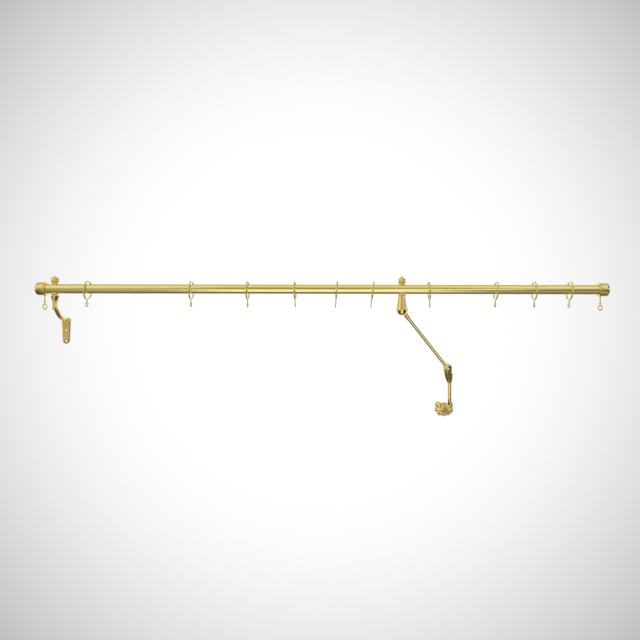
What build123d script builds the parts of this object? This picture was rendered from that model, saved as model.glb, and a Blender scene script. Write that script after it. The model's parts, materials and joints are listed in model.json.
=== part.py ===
from build123d import *
import os
from math import asin, cos, degrees, radians, sin, sqrt

# Swing arm curtain rod in solid brass, in millimetres.
# The origin is the centre of the wall plate's two screw holes, on its back face.
# +X runs along the rod, +Y points into the wall and +Z is up.

# Fits and clearances
pin_clearance = 0.05      # radial, a pin or spigot in the hole that it turns in
snug_clearance = 0.02     # radial, a pin or shank in the hole that holds it
side_clearance = 0.2      # each side of a tongue between its two cheeks
thrust_clearance = 0.1    # between faces that turn on each other
stop_clearance = 0.1      # between the fork's heel and the knuckle at rest
ring_clearance = 0.3      # between a ring and the rod where it bears
screw_tip_clearance = 0.2

# Rod tube and where it is carried
rod_diameter = 19.0
rod_wall = 1.0
rod_left_overhang = 32.7    # swing axis to the tube's left end
rod_right_reach = 1102.3    # swing axis to the tube's right end
rod_reach = 50.0            # wall face to rod axis
rod_height = 94.0           # centre of the plate's screw holes to rod axis

# End caps
cap_diameter = 26.0
cap_length = 20.0
cap_end_wall = 3.2
cap_edge_radius = 5.0
cap_bead_diameter = 26.6
cap_bead_width = 1.6
cap_groove_diameter = 24.6
cap_groove_width = 0.8

# Screw eyes under the end caps
end_eye_inset = 4.3         # cap rim to the eye's stem
end_eye_stem = 2.6
end_eye_drop = 35.8         # rod axis to the loop's centre
end_eye_outside = 12.0
end_eye_wire = 2.2
end_eye_turn = 20.0         # degrees that each loop is turned off the rod's line
end_eye_bead = 4.0
end_eye_bead_drop = 26.0    # rod axis to the bead's centre
end_eye_flange = 4.6
end_eye_flange_thickness = 1.0
end_eye_engagement = 2.0    # length of the shank inside the tube

# Wall plate
plate_top_width = 18.6
plate_bottom_width = 15.0
plate_top = 37.0            # above the centre of the screw holes
plate_bottom = 17.4         # below the centre of the screw holes
plate_thickness = 5.5
plate_corner = 6.0
plate_bevel = 2.0
screw_hole_diameter = 4.2
screw_hole_spacing = 22.6
screw_head_diameter = 7.8
screw_head_depth = 1.8

# Swan-neck arm of the wall bracket
neck_diameter = 8.6
neck_first_drop = 8.4       # boss top to the first turn
neck_second_back = 20.0     # swing axis to the second turn
neck_second_drop = 29.0     # boss top to the second turn
neck_root_drop = 35.2       # boss top to where the neck enters the plate
neck_first_radius = 13.0
neck_second_radius = 40.0
neck_root_diameter = 10.4
neck_root_length = 8.0
boss_diameter = 10.0
boss_straight = 10.0        # straight length of the boss, above its round end
boss_top_drop = 27.0        # rod axis to the boss's top face

# Knuckle that turns in the bracket's boss and carries the rod's fork
spigot_diameter = 5.0
spigot_length = 8.5
spigot_end_clearance = 0.6
spigot_groove_depth = 0.55
spigot_groove_length = 3.0
spigot_groove_drop = 4.6    # knuckle's seat to the middle of the groove
knuckle_collar_thickness = 2.0
knuckle_tongue_thickness = 4.0
knuckle_tongue_width = 8.4
swing_screw_diameter = 2.5
screw_slot_width = 0.6
screw_slot_depth = 0.7

# Fork under the rod at the swing end
fork_waist_diameter = 11.2
fork_rim_diameter = 15.4
fork_rim_top = 12.6         # rod axis to the rim's upper edge
fork_rim_bottom = 14.5      # rod axis to the rim's lower edge
fork_waist_drop = 11.2
tilt_pin_drop = 19.5        # rod axis to the tilt pin
tilt_pin_diameter = 3.0
tilt_pin_length = 12.4
tongue_top_clearance = 0.4

# Studs and finials
stud_diameter = 5.0
stud_top = 19.0             # rod axis to the studs' upper ends
finial_collar_diameter = 10.8
finial_collar_top = 11.5    # rod axis to the collars' top faces
finial_ball_diameter = 15.6
finial_ball_seat = 5.3      # ball's centre to the face that it stands on
flute_pairs = 6             # each pair of flutes is one groove right round the ball
flute_radius = 1.0
flute_depth = 0.6
finial_button_diameter = 4.6
finial_button_height = 0.8
finial_button_tip = 3.0
finial_point_height = 2.6
finial_point_tip = 1.2

# Link station, where the arm hangs from the rod
link_station = 693.3        # swing axis to the link's stud
link_saddle_diameter = 14.2
link_saddle_bottom = 12.0   # rod axis to the saddle's lower face
stud_head_diameter = 8.0
stud_head_thickness = 3.2
stud_head_drop = 22.0       # rod axis to the head's upper face
stud_head_clearance = 0.3
stud_slot_width = 1.2
stud_slot_depth = 1.0

# Yoke that swivels on the link stud
yoke_shank_diameter = 14.8
yoke_flare_top = 17.0       # rod axis to where the shank starts to widen
yoke_flare_bottom = 37.3    # rod axis to where the flare meets the lobe
yoke_flare_diameter = 20.8
yoke_lobe_diameter = 21.2
yoke_lobe_height = 25.6
yoke_lobe_rise = 1.7        # lobe's centre above its pin
yoke_pin_drop = 41.2        # rod axis to the yoke's pin
yoke_slot_top = 32.5        # rod axis to the slot's ceiling
yoke_pin_diameter = 4.0
yoke_pin_length = 19.6

# Link arm
arm_length = 149.2          # pin to pin
arm_fall = 51.72            # degrees below level at rest
arm_diameter = 6.5
tongue_thickness = 4.8
upper_tongue_eye = 11.2
upper_tongue_root_width = 7.2
upper_tongue_root = 12.0    # pin to the socket
socket_diameter = 8.4
socket_length = 10.0
socket_taper = 2.0
socket_mouth_diameter = 7.2
socket_depth = 7.0
heel_reach = 11.2           # pin to the heel's upright edge
heel_above = 3.0
heel_below = 9.5
heel_corner = 1.0
lower_tongue_eye = 10.4
lower_tongue_root_width = 7.2
ferrule_outside = 9.2
ferrule_thickness = 2.0
ferrule_setback = 10.7      # elbow pin to the ferrule's near face
arm_shank_diameter = 3.8
arm_shank_length = 10.0

# Door post, from the elbow fork down to its spigot
elbow_pin_diameter = 3.6
elbow_pin_length = 12.0
pear_diameter = 18.0
pear_side = -0.6            # pear's centre beside the elbow pin
pear_rise = 1.0             # pear's centre above the elbow pin
pear_length = 32.0          # pear's centre to its small end
pear_flat = 6.6             # pear's axis to each flat, at the pear's centre
pear_flat_tilt = 7.0        # degrees that the flats follow the taper
pear_flat_turn = 32.0       # degrees that the flats are turned about the pear
elbow_slot_drop = 9.0       # elbow pin to the slot's floor
post_side = 3.4             # post's axis beside the elbow pin
post_diameter = 7.4
post_drop = 50.6            # elbow pin to the post's shoulder
post_spigot_diameter = 3.6
post_spigot_length = 9.5
post_groove_depth = 0.55
post_groove_length = 2.6
post_groove_drop = 4.5
post_screw_diameter = 2.0

# Door rose and its stalk
stalk_diameter = 7.2
stalk_straight = 17.0       # post's shoulder to the stalk's turn
stalk_turn_radius = 12.0
stalk_root_depth = 2.0      # wall face to the stalk's end
rose_side = 3.4             # rose's centre beside the post's axis
rose_drop = 37.6            # post's shoulder to the rose's centre
rose_width = 38.0
rose_height = 27.0
rose_base_thickness = 2.6
rose_boss_diameter = 12.0
rose_boss_depth = 11.0
outer_petal_width = 14.0
outer_petal_length = 20.0
outer_petal_lift = 6.0
inner_petal_width = 8.6
inner_petal_length = 14.0
inner_petal_lift = 7.6
inner_petal_reach = 10.4
inner_petal_count = 5
rose_hole_diameter = 2.8
rose_hole_spacing = 26.0
rose_head_diameter = 5.2
rose_head_seat = 5.4        # wall face to the seat of each screw's head
# Direction in degrees from +X, and the reach of each outer petal's tip
outer_petals = (
    (0.0, 20.4), (36.0, 23.0), (90.0, 15.0), (144.0, 22.6),
    (180.0, 20.0), (222.0, 17.8), (270.0, 15.6), (318.0, 17.0),
)

# Curtain rings
ring_outside = 38.8
ring_wire = 3.0
ring_sag = 2.3              # ring's centre below the rod's axis
ring_eye_outside = 11.0
ring_eye_wire = 2.0
ring_eye_drop = 28.6        # ring's centre to the loop's centre
ring_eye_stem = 2.4
ring_eye_foot = 3.6
ring_eye_foot_height = 1.6
ring_eye_rivet_diameter = 1.4
ring_eye_rivet_length = 1.8
# Place of each ring, and how far its top leans right, in degrees
rings_from_swing = (
    (62.8, 3.5), (270.8, 1.0), (384.0, 0.0), (479.2, -1.0), (563.0, 4.4), (635.4, 6.8),
)
rings_past_link = ((55.1, -2.9),)                               # measured on from the link's stud
rings_before_right_cap = ((202.5, 3.4), (125.7, 0.0), (54.5, 3.5))  # measured back from its rim

# Sizes that follow from the ones above
rod_radius = rod_diameter / 2
rod_length = rod_left_overhang + rod_right_reach
boss_top = rod_height - boss_top_drop
knuckle_seat = boss_top + thrust_clearance
knuckle_top = knuckle_seat + knuckle_collar_thickness
tilt_pin_height = rod_height - tilt_pin_drop
fork_bottom_drop = rod_height - knuckle_top - stop_clearance
fork_ceiling_drop = tilt_pin_drop - knuckle_tongue_width / 2 - tongue_top_clearance
left_cap_rim = -rod_left_overhang - cap_end_wall + cap_length
right_cap_rim = rod_right_reach + cap_end_wall - cap_length
rings = (
    *rings_from_swing,
    *((link_station + past, lean) for past, lean in rings_past_link),
    *((right_cap_rim - before, lean) for before, lean in rings_before_right_cap),
)
tongue_gap = tongue_thickness + 2 * side_clearance
elbow_x = link_station + arm_length * cos(radians(arm_fall))
elbow_drop = yoke_pin_drop + arm_length * sin(radians(arm_fall))
post_x = elbow_x + post_side
post_seat = rod_height - elbow_drop - post_drop
rose_x = post_x - rose_side
rose_z = post_seat - rose_drop


def at_rod(x):
    """The place on the rod's axis at a distance from the swing axis."""
    return Pos(x, -rod_reach, rod_height)


def upright(diameter, low, high):
    """A round bar along Z between two heights."""
    return Pos(0, 0, (low + high) / 2) * Cylinder(diameter / 2, high - low)


def crosswise(diameter, length):
    """A round bar along Y, centred."""
    return Rot(90, 0, 0) * Cylinder(diameter / 2, length)


def along_rod(diameter, length):
    """A round bar along X, centred."""
    return Rot(0, 90, 0) * Cylinder(diameter / 2, length)


def turned(profile):
    """A solid turned about Z from (radius, height) points."""
    outline = Polyline(*[(r, 0, z) for r, z in profile], close=True)
    return revolve(make_face(outline), Axis.Z)


def spheroid(across, tall):
    """An ellipsoid of revolution about Z."""
    arc = EllipticalCenterArc((0, 0), across / 2, tall / 2, start_angle=-90, arc_size=180)
    half = make_face(Plane.XZ * (arc + Line(arc @ 1, arc @ 0)))
    return revolve(half, Axis.Z)


def slab(circles, thickness):
    """A flat piece across Y round the hull of (radius, x, z) circles."""
    edges = [(Pos(x, z) * Circle(r)).edge() for r, x, z in circles]
    return extrude(Plane.XZ * make_hull(edges), amount=thickness / 2, both=True)


def loop(outside, wire):
    """A round wire loop about Z."""
    return Torus(outside / 2 - wire / 2, wire / 2)


def seated(solid):
    """Cut a solid that stands on the rod, at the origin, to the rod's curve."""
    return solid - along_rod(rod_diameter, 4 * rod_diameter)


def slotted_screw(diameter, tip, head):
    """A headless screw along +X, from its tip to its slotted end."""
    body = Pos((tip + head) / 2, 0, 0) * along_rod(diameter, head - tip)
    slot = Pos(head - screw_slot_depth / 2, 0, 0) * Box(screw_slot_depth, screw_slot_width, 2 * diameter)
    return body - slot


def make_wall_bracket():
    """Wall plate, swan neck and the boss that the knuckle turns in, in one casting."""
    bottom_radius = plate_bottom_width / 2
    corner_x = plate_top_width / 2 - plate_corner
    corners = [
        (Pos(corner_x, plate_top - plate_corner) * Circle(plate_corner)).edge(),
        (Pos(-corner_x, plate_top - plate_corner) * Circle(plate_corner)).edge(),
        (Pos(0, bottom_radius - plate_bottom) * Circle(bottom_radius)).edge(),
    ]
    plate = extrude(Plane.XZ * make_hull(corners), amount=plate_thickness)
    plate = chamfer(plate.faces().sort_by(Axis.Y)[0].edges(), plate_bevel)

    root_y = -plate_thickness / 2
    path = FilletPolyline(
        (0, -rod_reach, boss_top),
        (0, -rod_reach, boss_top - neck_first_drop),
        (0, neck_second_back - rod_reach, boss_top - neck_second_drop),
        (0, root_y, boss_top - neck_root_drop),
        radius=(neck_first_radius, neck_second_radius),
    )
    neck = sweep(Plane(path @ 0, z_dir=path % 0) * Circle(neck_diameter / 2), path=path)
    root = Plane(path @ 1, z_dir=-(path % 1)) * Pos(0, 0, neck_root_length / 2)
    neck += root * Cone(neck_root_diameter / 2, neck_diameter / 2, neck_root_length)

    boss_base = boss_top - boss_straight
    boss = upright(boss_diameter, boss_base, boss_top) + Pos(0, 0, boss_base) * Sphere(boss_diameter / 2)
    bracket = plate + neck + Pos(0, -rod_reach, 0) * boss

    bore_base = knuckle_seat - spigot_length - spigot_end_clearance
    bore = upright(spigot_diameter + 2 * pin_clearance, bore_base, boss_top + boss_straight)
    bracket -= Pos(0, -rod_reach, 0) * bore
    screw_hole = Pos(-boss_diameter / 2, 0, 0) * along_rod(swing_screw_diameter, boss_diameter)
    bracket -= Pos(0, -rod_reach, knuckle_seat - spigot_groove_drop) * screw_hole

    for z in (screw_hole_spacing / 2, -screw_hole_spacing / 2):
        bracket -= Pos(0, 0, z) * crosswise(screw_hole_diameter, 4 * plate_thickness)
        sink = Cone(screw_hole_diameter / 2, screw_head_diameter / 2, screw_head_depth)
        bracket -= Pos(0, screw_head_depth / 2 - plate_thickness, z) * Rot(90, 0, 0) * sink
    return bracket


def make_swing_screw():
    """Grub screw in the boss that keeps the knuckle's spigot from lifting out."""
    tip = spigot_diameter / 2 - spigot_groove_depth + screw_tip_clearance
    screw = slotted_screw(swing_screw_diameter, tip, boss_diameter / 2 - screw_tip_clearance)
    return Pos(0, -rod_reach, knuckle_seat - spigot_groove_drop) * Rot(0, 0, 180) * screw


def make_knuckle():
    """Spigot, collar and the flat tongue that the rod's fork tilts on."""
    groove_low = knuckle_seat - spigot_groove_drop - spigot_groove_length / 2
    spigot = upright(spigot_diameter, knuckle_seat - spigot_length, knuckle_top)
    ring = upright(2 * spigot_diameter, groove_low, groove_low + spigot_groove_length)
    ring -= upright(spigot_diameter - 2 * spigot_groove_depth, groove_low, groove_low + spigot_groove_length)
    collar = upright(boss_diameter, knuckle_seat, knuckle_top)
    rise = tilt_pin_height - knuckle_top
    tongue = Box(knuckle_tongue_width, knuckle_tongue_thickness, rise)
    tongue = Pos(0, 0, knuckle_top + rise / 2) * tongue
    tongue += Pos(0, 0, tilt_pin_height) * crosswise(knuckle_tongue_width, knuckle_tongue_thickness)
    hole = crosswise(tilt_pin_diameter + 2 * pin_clearance, 2 * knuckle_tongue_width)
    return Pos(0, -rod_reach, 0) * (spigot - ring + collar + tongue - Pos(0, 0, tilt_pin_height) * hole)


def make_rod_fork():
    """Bell under the rod whose two cheeks hold the tilt pin."""
    foot_radius = boss_diameter / 2
    bell = turned([
        (0, 0), (fork_waist_diameter / 2, 0), (fork_waist_diameter / 2, -fork_waist_drop),
        (fork_rim_diameter / 2, -fork_rim_top), (fork_rim_diameter / 2, -fork_rim_bottom),
        (foot_radius, -fork_bottom_drop), (0, -fork_bottom_drop),
    ])
    bell = seated(bell)
    slot_width = knuckle_tongue_thickness + 2 * side_clearance
    slot = Box(2 * fork_rim_diameter, slot_width, 2 * (fork_bottom_drop - fork_ceiling_drop))
    bell -= Pos(0, 0, -fork_bottom_drop) * slot
    # The left half of the foot is round about the pin, so that the rod can rise
    heel_radius = fork_bottom_drop - tilt_pin_drop
    corner = Pos(-fork_rim_diameter / 2, 0, -heel_radius) * Box(
        fork_rim_diameter, 2 * fork_rim_diameter, 2 * heel_radius
    )
    corner -= crosswise(2 * heel_radius, 4 * fork_rim_diameter)
    bell -= Pos(0, 0, -tilt_pin_drop) * corner
    bell -= Pos(0, 0, -tilt_pin_drop) * crosswise(tilt_pin_diameter + 2 * snug_clearance, 2 * fork_rim_diameter)
    bell -= upright(stud_diameter + 2 * snug_clearance, -fork_ceiling_drop, 0)
    return at_rod(0) * bell


def make_tilt_pin():
    """Pin through the fork and the knuckle's tongue."""
    return at_rod(0) * Pos(0, 0, -tilt_pin_drop) * crosswise(tilt_pin_diameter, tilt_pin_length)


def make_rod_tube():
    """Brass tube with holes for the two studs and the two end eyes."""
    tube = along_rod(rod_diameter, rod_length) - along_rod(rod_diameter - 2 * rod_wall, 2 * rod_length)
    tube = at_rod((rod_right_reach - rod_left_overhang) / 2) * tube
    for x in (0, link_station):
        tube -= at_rod(x) * upright(stud_diameter + 2 * snug_clearance, -rod_diameter, rod_diameter)
    for x in (left_cap_rim - end_eye_inset, right_cap_rim + end_eye_inset):
        tube -= at_rod(x) * upright(end_eye_stem + 2 * snug_clearance, -rod_diameter, 0)
    return tube


def make_end_cap(rim, side):
    """Turned cap over a tube end; side is -1 at the left and 1 at the right."""
    bead_end = cap_bead_width + cap_groove_width
    body = Pos(0, 0, (bead_end + cap_length) / 2) * Cylinder(cap_diameter / 2, cap_length - bead_end)
    body = fillet(body.edges().sort_by(Axis.Z)[-1], cap_edge_radius)
    body += upright(cap_groove_diameter, 0, cap_length / 2)
    body += upright(cap_bead_diameter, 0, cap_bead_width)
    body -= upright(rod_diameter + 2 * snug_clearance, -cap_length, cap_length - cap_end_wall)
    cap = at_rod(rim) * Rot(0, 90 * side, 0) * body
    hole = upright(end_eye_stem + 2 * snug_clearance, -cap_diameter, 0)
    return cap - at_rod(rim + side * end_eye_inset) * hole


def make_end_eye(x, turn):
    """Screw eye through the underside of a cap and the tube inside it."""
    cap_radius = cap_diameter / 2
    stem_top = rod_radius - rod_wall - end_eye_engagement
    loop_radius = end_eye_outside / 2 - end_eye_wire / 2
    eye = upright(end_eye_stem, loop_radius - end_eye_drop, -stem_top)
    eye += upright(end_eye_flange, -cap_radius - end_eye_flange_thickness, -cap_radius)
    eye += Pos(0, 0, -end_eye_bead_drop) * Sphere(end_eye_bead / 2)
    eye += Pos(0, 0, -end_eye_drop) * Rot(90, 0, 0) * loop(end_eye_outside, end_eye_wire)
    return at_rod(x) * Rot(0, 0, turn) * eye


def make_stud(bottom):
    """Plain stud up through the rod from a depth below its axis."""
    return upright(stud_diameter, -bottom, stud_top)


def make_finial_collar():
    """Turned seat between the rod and a finial."""
    collar = seated(upright(finial_collar_diameter, 0, finial_collar_top))
    return collar - upright(stud_diameter + 2 * snug_clearance, 0, finial_collar_top)


def make_finial(pointed):
    """Fluted ball knob on a stud, with a button or a bud's point on top."""
    radius = finial_ball_diameter / 2
    ball = Sphere(radius)
    groove = Rot(90, 0, 0) * Torus(radius + flute_radius - flute_depth, flute_radius)
    for i in range(flute_pairs):
        ball -= Rot(0, 0, 180 * (i + 0.5) / flute_pairs) * groove
    ball -= upright(4 * radius, -2 * radius, -finial_ball_seat)
    shoulder = sqrt(radius**2 - (finial_button_diameter / 2) ** 2)
    height = finial_point_height if pointed else finial_button_height
    tip = finial_point_tip if pointed else finial_button_tip
    ball += upright(finial_button_diameter, radius - 4 * flute_depth, shoulder)
    ball += Pos(0, 0, shoulder + height / 2) * Cone(finial_button_diameter / 2, tip / 2, height)
    knob = Pos(0, 0, finial_collar_top + finial_ball_seat) * ball
    return knob - upright(stud_diameter + 2 * snug_clearance, 0, stud_top)


def make_link_stud():
    """Shoulder stud that the yoke swivels on, with its slotted head inside the yoke."""
    stud = make_stud(stud_head_drop)
    head_bottom = -stud_head_drop - stud_head_thickness
    stud += upright(stud_head_diameter, head_bottom, -stud_head_drop)
    slot = Box(2 * stud_head_diameter, stud_slot_width, 2 * stud_slot_depth)
    return at_rod(link_station) * (stud - Pos(0, 0, head_bottom) * slot)


def make_link_saddle():
    """Round saddle under the rod that the yoke turns against."""
    saddle = seated(upright(link_saddle_diameter, -link_saddle_bottom, 0))
    saddle -= upright(stud_diameter + 2 * snug_clearance, -link_saddle_bottom, 0)
    return at_rod(link_station) * saddle


def make_link_yoke():
    """Swivelling baluster whose slotted lobe holds the arm's upper tongue."""
    top = -link_saddle_bottom - thrust_clearance
    yoke = upright(yoke_shank_diameter, -yoke_pin_drop, top)
    flare_height = yoke_flare_bottom - yoke_flare_top
    flare = Cone(yoke_flare_diameter / 2, yoke_shank_diameter / 2, flare_height)
    yoke += Pos(0, 0, -yoke_flare_top - flare_height / 2) * flare
    yoke += Pos(0, 0, yoke_lobe_rise - yoke_pin_drop) * spheroid(yoke_lobe_diameter, yoke_lobe_height)
    slot_depth = yoke_pin_drop + yoke_lobe_height - yoke_slot_top
    slot = Box(2 * yoke_lobe_diameter, tongue_gap, slot_depth)
    yoke -= Pos(0, 0, -yoke_slot_top - slot_depth / 2) * slot
    yoke -= upright(stud_diameter + 2 * pin_clearance, -yoke_slot_top, 0)
    bore_top = thrust_clearance - stud_head_drop
    yoke -= upright(
        stud_head_diameter + 2 * stud_head_clearance, -yoke_pin_drop - yoke_lobe_height, bore_top
    )
    yoke -= Pos(0, 0, -yoke_pin_drop) * crosswise(yoke_pin_diameter + 2 * snug_clearance, 2 * yoke_lobe_diameter)
    return at_rod(link_station) * yoke


def make_yoke_pin():
    """Flush pin across the yoke's lobe."""
    return at_rod(link_station) * Pos(0, 0, -yoke_pin_drop) * crosswise(yoke_pin_diameter, yoke_pin_length)


def on_arm(solid):
    """Place a solid modelled along +X from the arm's upper pin."""
    return at_rod(link_station) * Pos(0, 0, -yoke_pin_drop) * Rot(0, arm_fall, 0) * solid


def make_upper_tongue():
    """Flat eye with a heel, and the socket that the arm's bar is fixed in."""
    eye_radius = upper_tongue_eye / 2
    socket_end = upper_tongue_root + socket_length
    tongue = slab([(eye_radius, 0, 0), (upper_tongue_root_width / 2, upper_tongue_root, 0)], tongue_thickness)
    heel = slab(
        [(eye_radius, 0, 0), (heel_corner, heel_reach, heel_above), (heel_corner, heel_reach, -heel_below)],
        tongue_thickness,
    )
    tongue += Rot(0, -arm_fall, 0) * heel
    tongue += Pos(upper_tongue_root + socket_length / 2, 0, 0) * along_rod(socket_diameter, socket_length)
    mouth = Cone(socket_diameter / 2, socket_mouth_diameter / 2, socket_taper)
    tongue += Pos(socket_end + socket_taper / 2, 0, 0) * Rot(0, 90, 0) * mouth
    tongue -= crosswise(yoke_pin_diameter + 2 * pin_clearance, 2 * tongue_thickness)
    bore = along_rod(arm_diameter + 2 * snug_clearance, socket_depth)
    tongue -= Pos(socket_end + socket_taper - socket_depth / 2, 0, 0) * bore
    return on_arm(tongue)


def make_link_arm():
    """Round bar between the socket and the ferrule."""
    start = upper_tongue_root + socket_length + socket_taper - socket_depth
    end = arm_length - ferrule_setback - ferrule_thickness
    bar = Pos((start + end) / 2, 0, 0) * along_rod(arm_diameter, end - start)
    hole_depth = arm_shank_length - ferrule_thickness
    hole = along_rod(arm_shank_diameter + 2 * snug_clearance, hole_depth)
    return on_arm(bar - Pos(end - hole_depth / 2, 0, 0) * hole)


def make_ferrule():
    """Turned ring between the bar and the lower tongue."""
    ring = along_rod(ferrule_outside, ferrule_thickness)
    ring -= along_rod(arm_shank_diameter + 2 * snug_clearance, 2 * ferrule_thickness)
    return on_arm(Pos(arm_length - ferrule_setback - ferrule_thickness / 2, 0, 0) * ring)


def make_lower_tongue():
    """Flat eye at the elbow, with the shank that screws into the bar."""
    root = arm_length - ferrule_setback
    half_root = lower_tongue_root_width / 2
    tongue = slab([(lower_tongue_eye / 2, arm_length, 0), (half_root, root + half_root, 0)], tongue_thickness)
    block = Box(half_root, tongue_thickness, lower_tongue_root_width)
    tongue += Pos(root + half_root / 2, 0, 0) * block
    tongue += Pos(root - arm_shank_length / 2, 0, 0) * along_rod(arm_shank_diameter, arm_shank_length)
    hole = crosswise(elbow_pin_diameter + 2 * pin_clearance, 2 * tongue_thickness)
    return on_arm(tongue - Pos(arm_length, 0, 0) * hole)


def make_door_post():
    """Pear-shaped elbow fork, its neck and the spigot that turns in the stalk."""
    above = Pos(0, 0, pear_length) * Box(2 * pear_diameter, 2 * pear_diameter, 2 * pear_length)
    pear = Sphere(pear_diameter / 2) + (spheroid(pear_diameter, 2 * pear_length) - above)
    for turn in (0, 180):
        pad = Pos(0, -pear_flat - pear_diameter, 0) * Box(
            4 * pear_diameter, 2 * pear_diameter, 6 * pear_diameter
        )
        pear -= Rot(0, 0, pear_flat_turn + turn) * Rot(pear_flat_tilt, 0, 0) * pad
    lean = degrees(asin((post_side - pear_side) / pear_length))
    pear = Pos(pear_side, 0, pear_rise) * Rot(0, -lean, 0) * pear
    gap = Box(4 * pear_diameter, tongue_gap, 2 * pear_diameter)
    pear -= Pos(0, 0, pear_diameter - elbow_slot_drop) * gap
    pear -= crosswise(elbow_pin_diameter + 2 * snug_clearance, 2 * pear_diameter)

    neck = upright(post_diameter, -post_drop, post_diameter / 2 - pear_length)
    neck += upright(post_spigot_diameter, -post_drop - post_spigot_length, -post_drop)
    groove_top = post_groove_length / 2 - post_drop - post_groove_drop
    ring = upright(2 * post_diameter, groove_top - post_groove_length, groove_top)
    ring -= upright(post_spigot_diameter - 2 * post_groove_depth, groove_top - post_groove_length, groove_top)
    neck = Pos(post_side, 0, 0) * (neck - ring)
    return at_rod(elbow_x) * Pos(0, 0, -elbow_drop) * (pear + neck)


def make_elbow_pin():
    """Flush pin across the elbow fork."""
    return at_rod(elbow_x) * Pos(0, 0, -elbow_drop) * crosswise(elbow_pin_diameter, elbow_pin_length)


def make_post_screw():
    """Grub screw in the stalk that holds the post's spigot."""
    tip = post_spigot_diameter / 2 - post_groove_depth + screw_tip_clearance
    screw = slotted_screw(post_screw_diameter, tip, stalk_diameter / 2 - screw_tip_clearance)
    return Pos(post_x, -rod_reach, post_seat - post_groove_drop) * Rot(0, 0, 180) * screw


def petal(direction, reach, width, length, lift):
    """One swelling petal whose tip lies at a reach from the rose's centre."""
    body = Pos(0, 0, reach - length / 2) * spheroid(width, length)
    return Pos(0, width / 2 - lift, 0) * Rot(0, 90 - direction, 0) * body


def make_door_rose():
    """Cast rose, the stalk that stands out from it and the socket for the post."""
    rose = Pos(0, -rose_base_thickness / 2, 0) * Rot(90, 0, 0) * extrude(
        Ellipse(rose_width / 2, rose_height / 2), amount=rose_base_thickness / 2, both=True
    )
    for direction, reach in outer_petals:
        rose += petal(direction, reach, outer_petal_width, outer_petal_length, outer_petal_lift)
    for i in range(inner_petal_count):
        direction = 90 + 360 * (i + 0.5) / inner_petal_count
        rose += petal(direction, inner_petal_reach, inner_petal_width, inner_petal_length, inner_petal_lift)
    rose += Pos(0, -rose_base_thickness, 0) * Rot(90, 0, 0) * spheroid(rose_boss_diameter, 2 * rose_boss_depth)
    behind = Box(4 * rose_width, rose_width, 4 * rose_height)
    rose -= Pos(0, rose_width / 2, 0) * behind
    rose = Pos(rose_x, 0, rose_z) * rose

    path = FilletPolyline(
        (post_x, -rod_reach, post_seat - thrust_clearance),
        (post_x, -rod_reach, post_seat - stalk_straight),
        (rose_x, -stalk_root_depth, rose_z),
        radius=stalk_turn_radius,
    )
    stalk = sweep(Plane(path @ 0, z_dir=path % 0) * Circle(stalk_diameter / 2), path=path)
    rose += stalk - Pos(rose_x, rose_width / 2, rose_z) * behind
    bore = upright(
        post_spigot_diameter + 2 * pin_clearance,
        -post_spigot_length - spigot_end_clearance, post_spigot_length,
    )
    rose -= Pos(post_x, -rod_reach, post_seat) * bore
    screw_hole = Pos(-stalk_diameter / 2, 0, 0) * along_rod(post_screw_diameter, stalk_diameter)
    rose -= Pos(post_x, -rod_reach, post_seat - post_groove_drop) * screw_hole
    for side in (-1, 1):
        x = rose_x + side * rose_hole_spacing / 2
        rose -= Pos(x, 0, rose_z) * crosswise(rose_hole_diameter, rose_width)
        rose -= Pos(x, -rose_head_seat - rose_width / 2, rose_z) * crosswise(rose_head_diameter, rose_width)
    return rose


def ring_place(station, lean):
    """A ring's centre, set back so that the ring bears on the front of the rod."""
    slack = ring_outside / 2 - ring_wire - rod_radius - ring_clearance
    set_back = sqrt(slack**2 - ring_sag**2)
    return at_rod(station) * Pos(0, set_back, -ring_sag) * Rot(0, lean, 0)


def make_ring(station, lean):
    """Round wire ring, drilled underneath for its eye."""
    ring = Rot(0, 90, 0) * loop(ring_outside, ring_wire)
    bottom = -ring_outside / 2
    rivet_hole = upright(
        ring_eye_rivet_diameter + 2 * snug_clearance, bottom - ring_wire, bottom + ring_eye_rivet_length
    )
    return ring_place(station, lean) * (ring - rivet_hole)


def make_ring_eye(station, lean):
    """Small loop on a footed stem, riveted into the bottom of its ring."""
    bottom = -ring_outside / 2
    loop_top = ring_eye_outside / 2 - ring_eye_wire / 2 - ring_eye_drop
    seat = bottom - ring_clearance
    eye = upright(ring_eye_stem, loop_top, seat)
    foot = Cone(ring_eye_stem / 2, ring_eye_foot / 2, ring_eye_foot_height)
    eye += Pos(0, 0, seat - ring_eye_foot_height / 2) * foot
    eye += upright(ring_eye_rivet_diameter, seat, bottom + ring_eye_rivet_length)
    eye += Pos(0, 0, -ring_eye_drop) * Rot(0, 90, 0) * loop(ring_eye_outside, ring_eye_wire)
    return ring_place(station, lean) * eye


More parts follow.
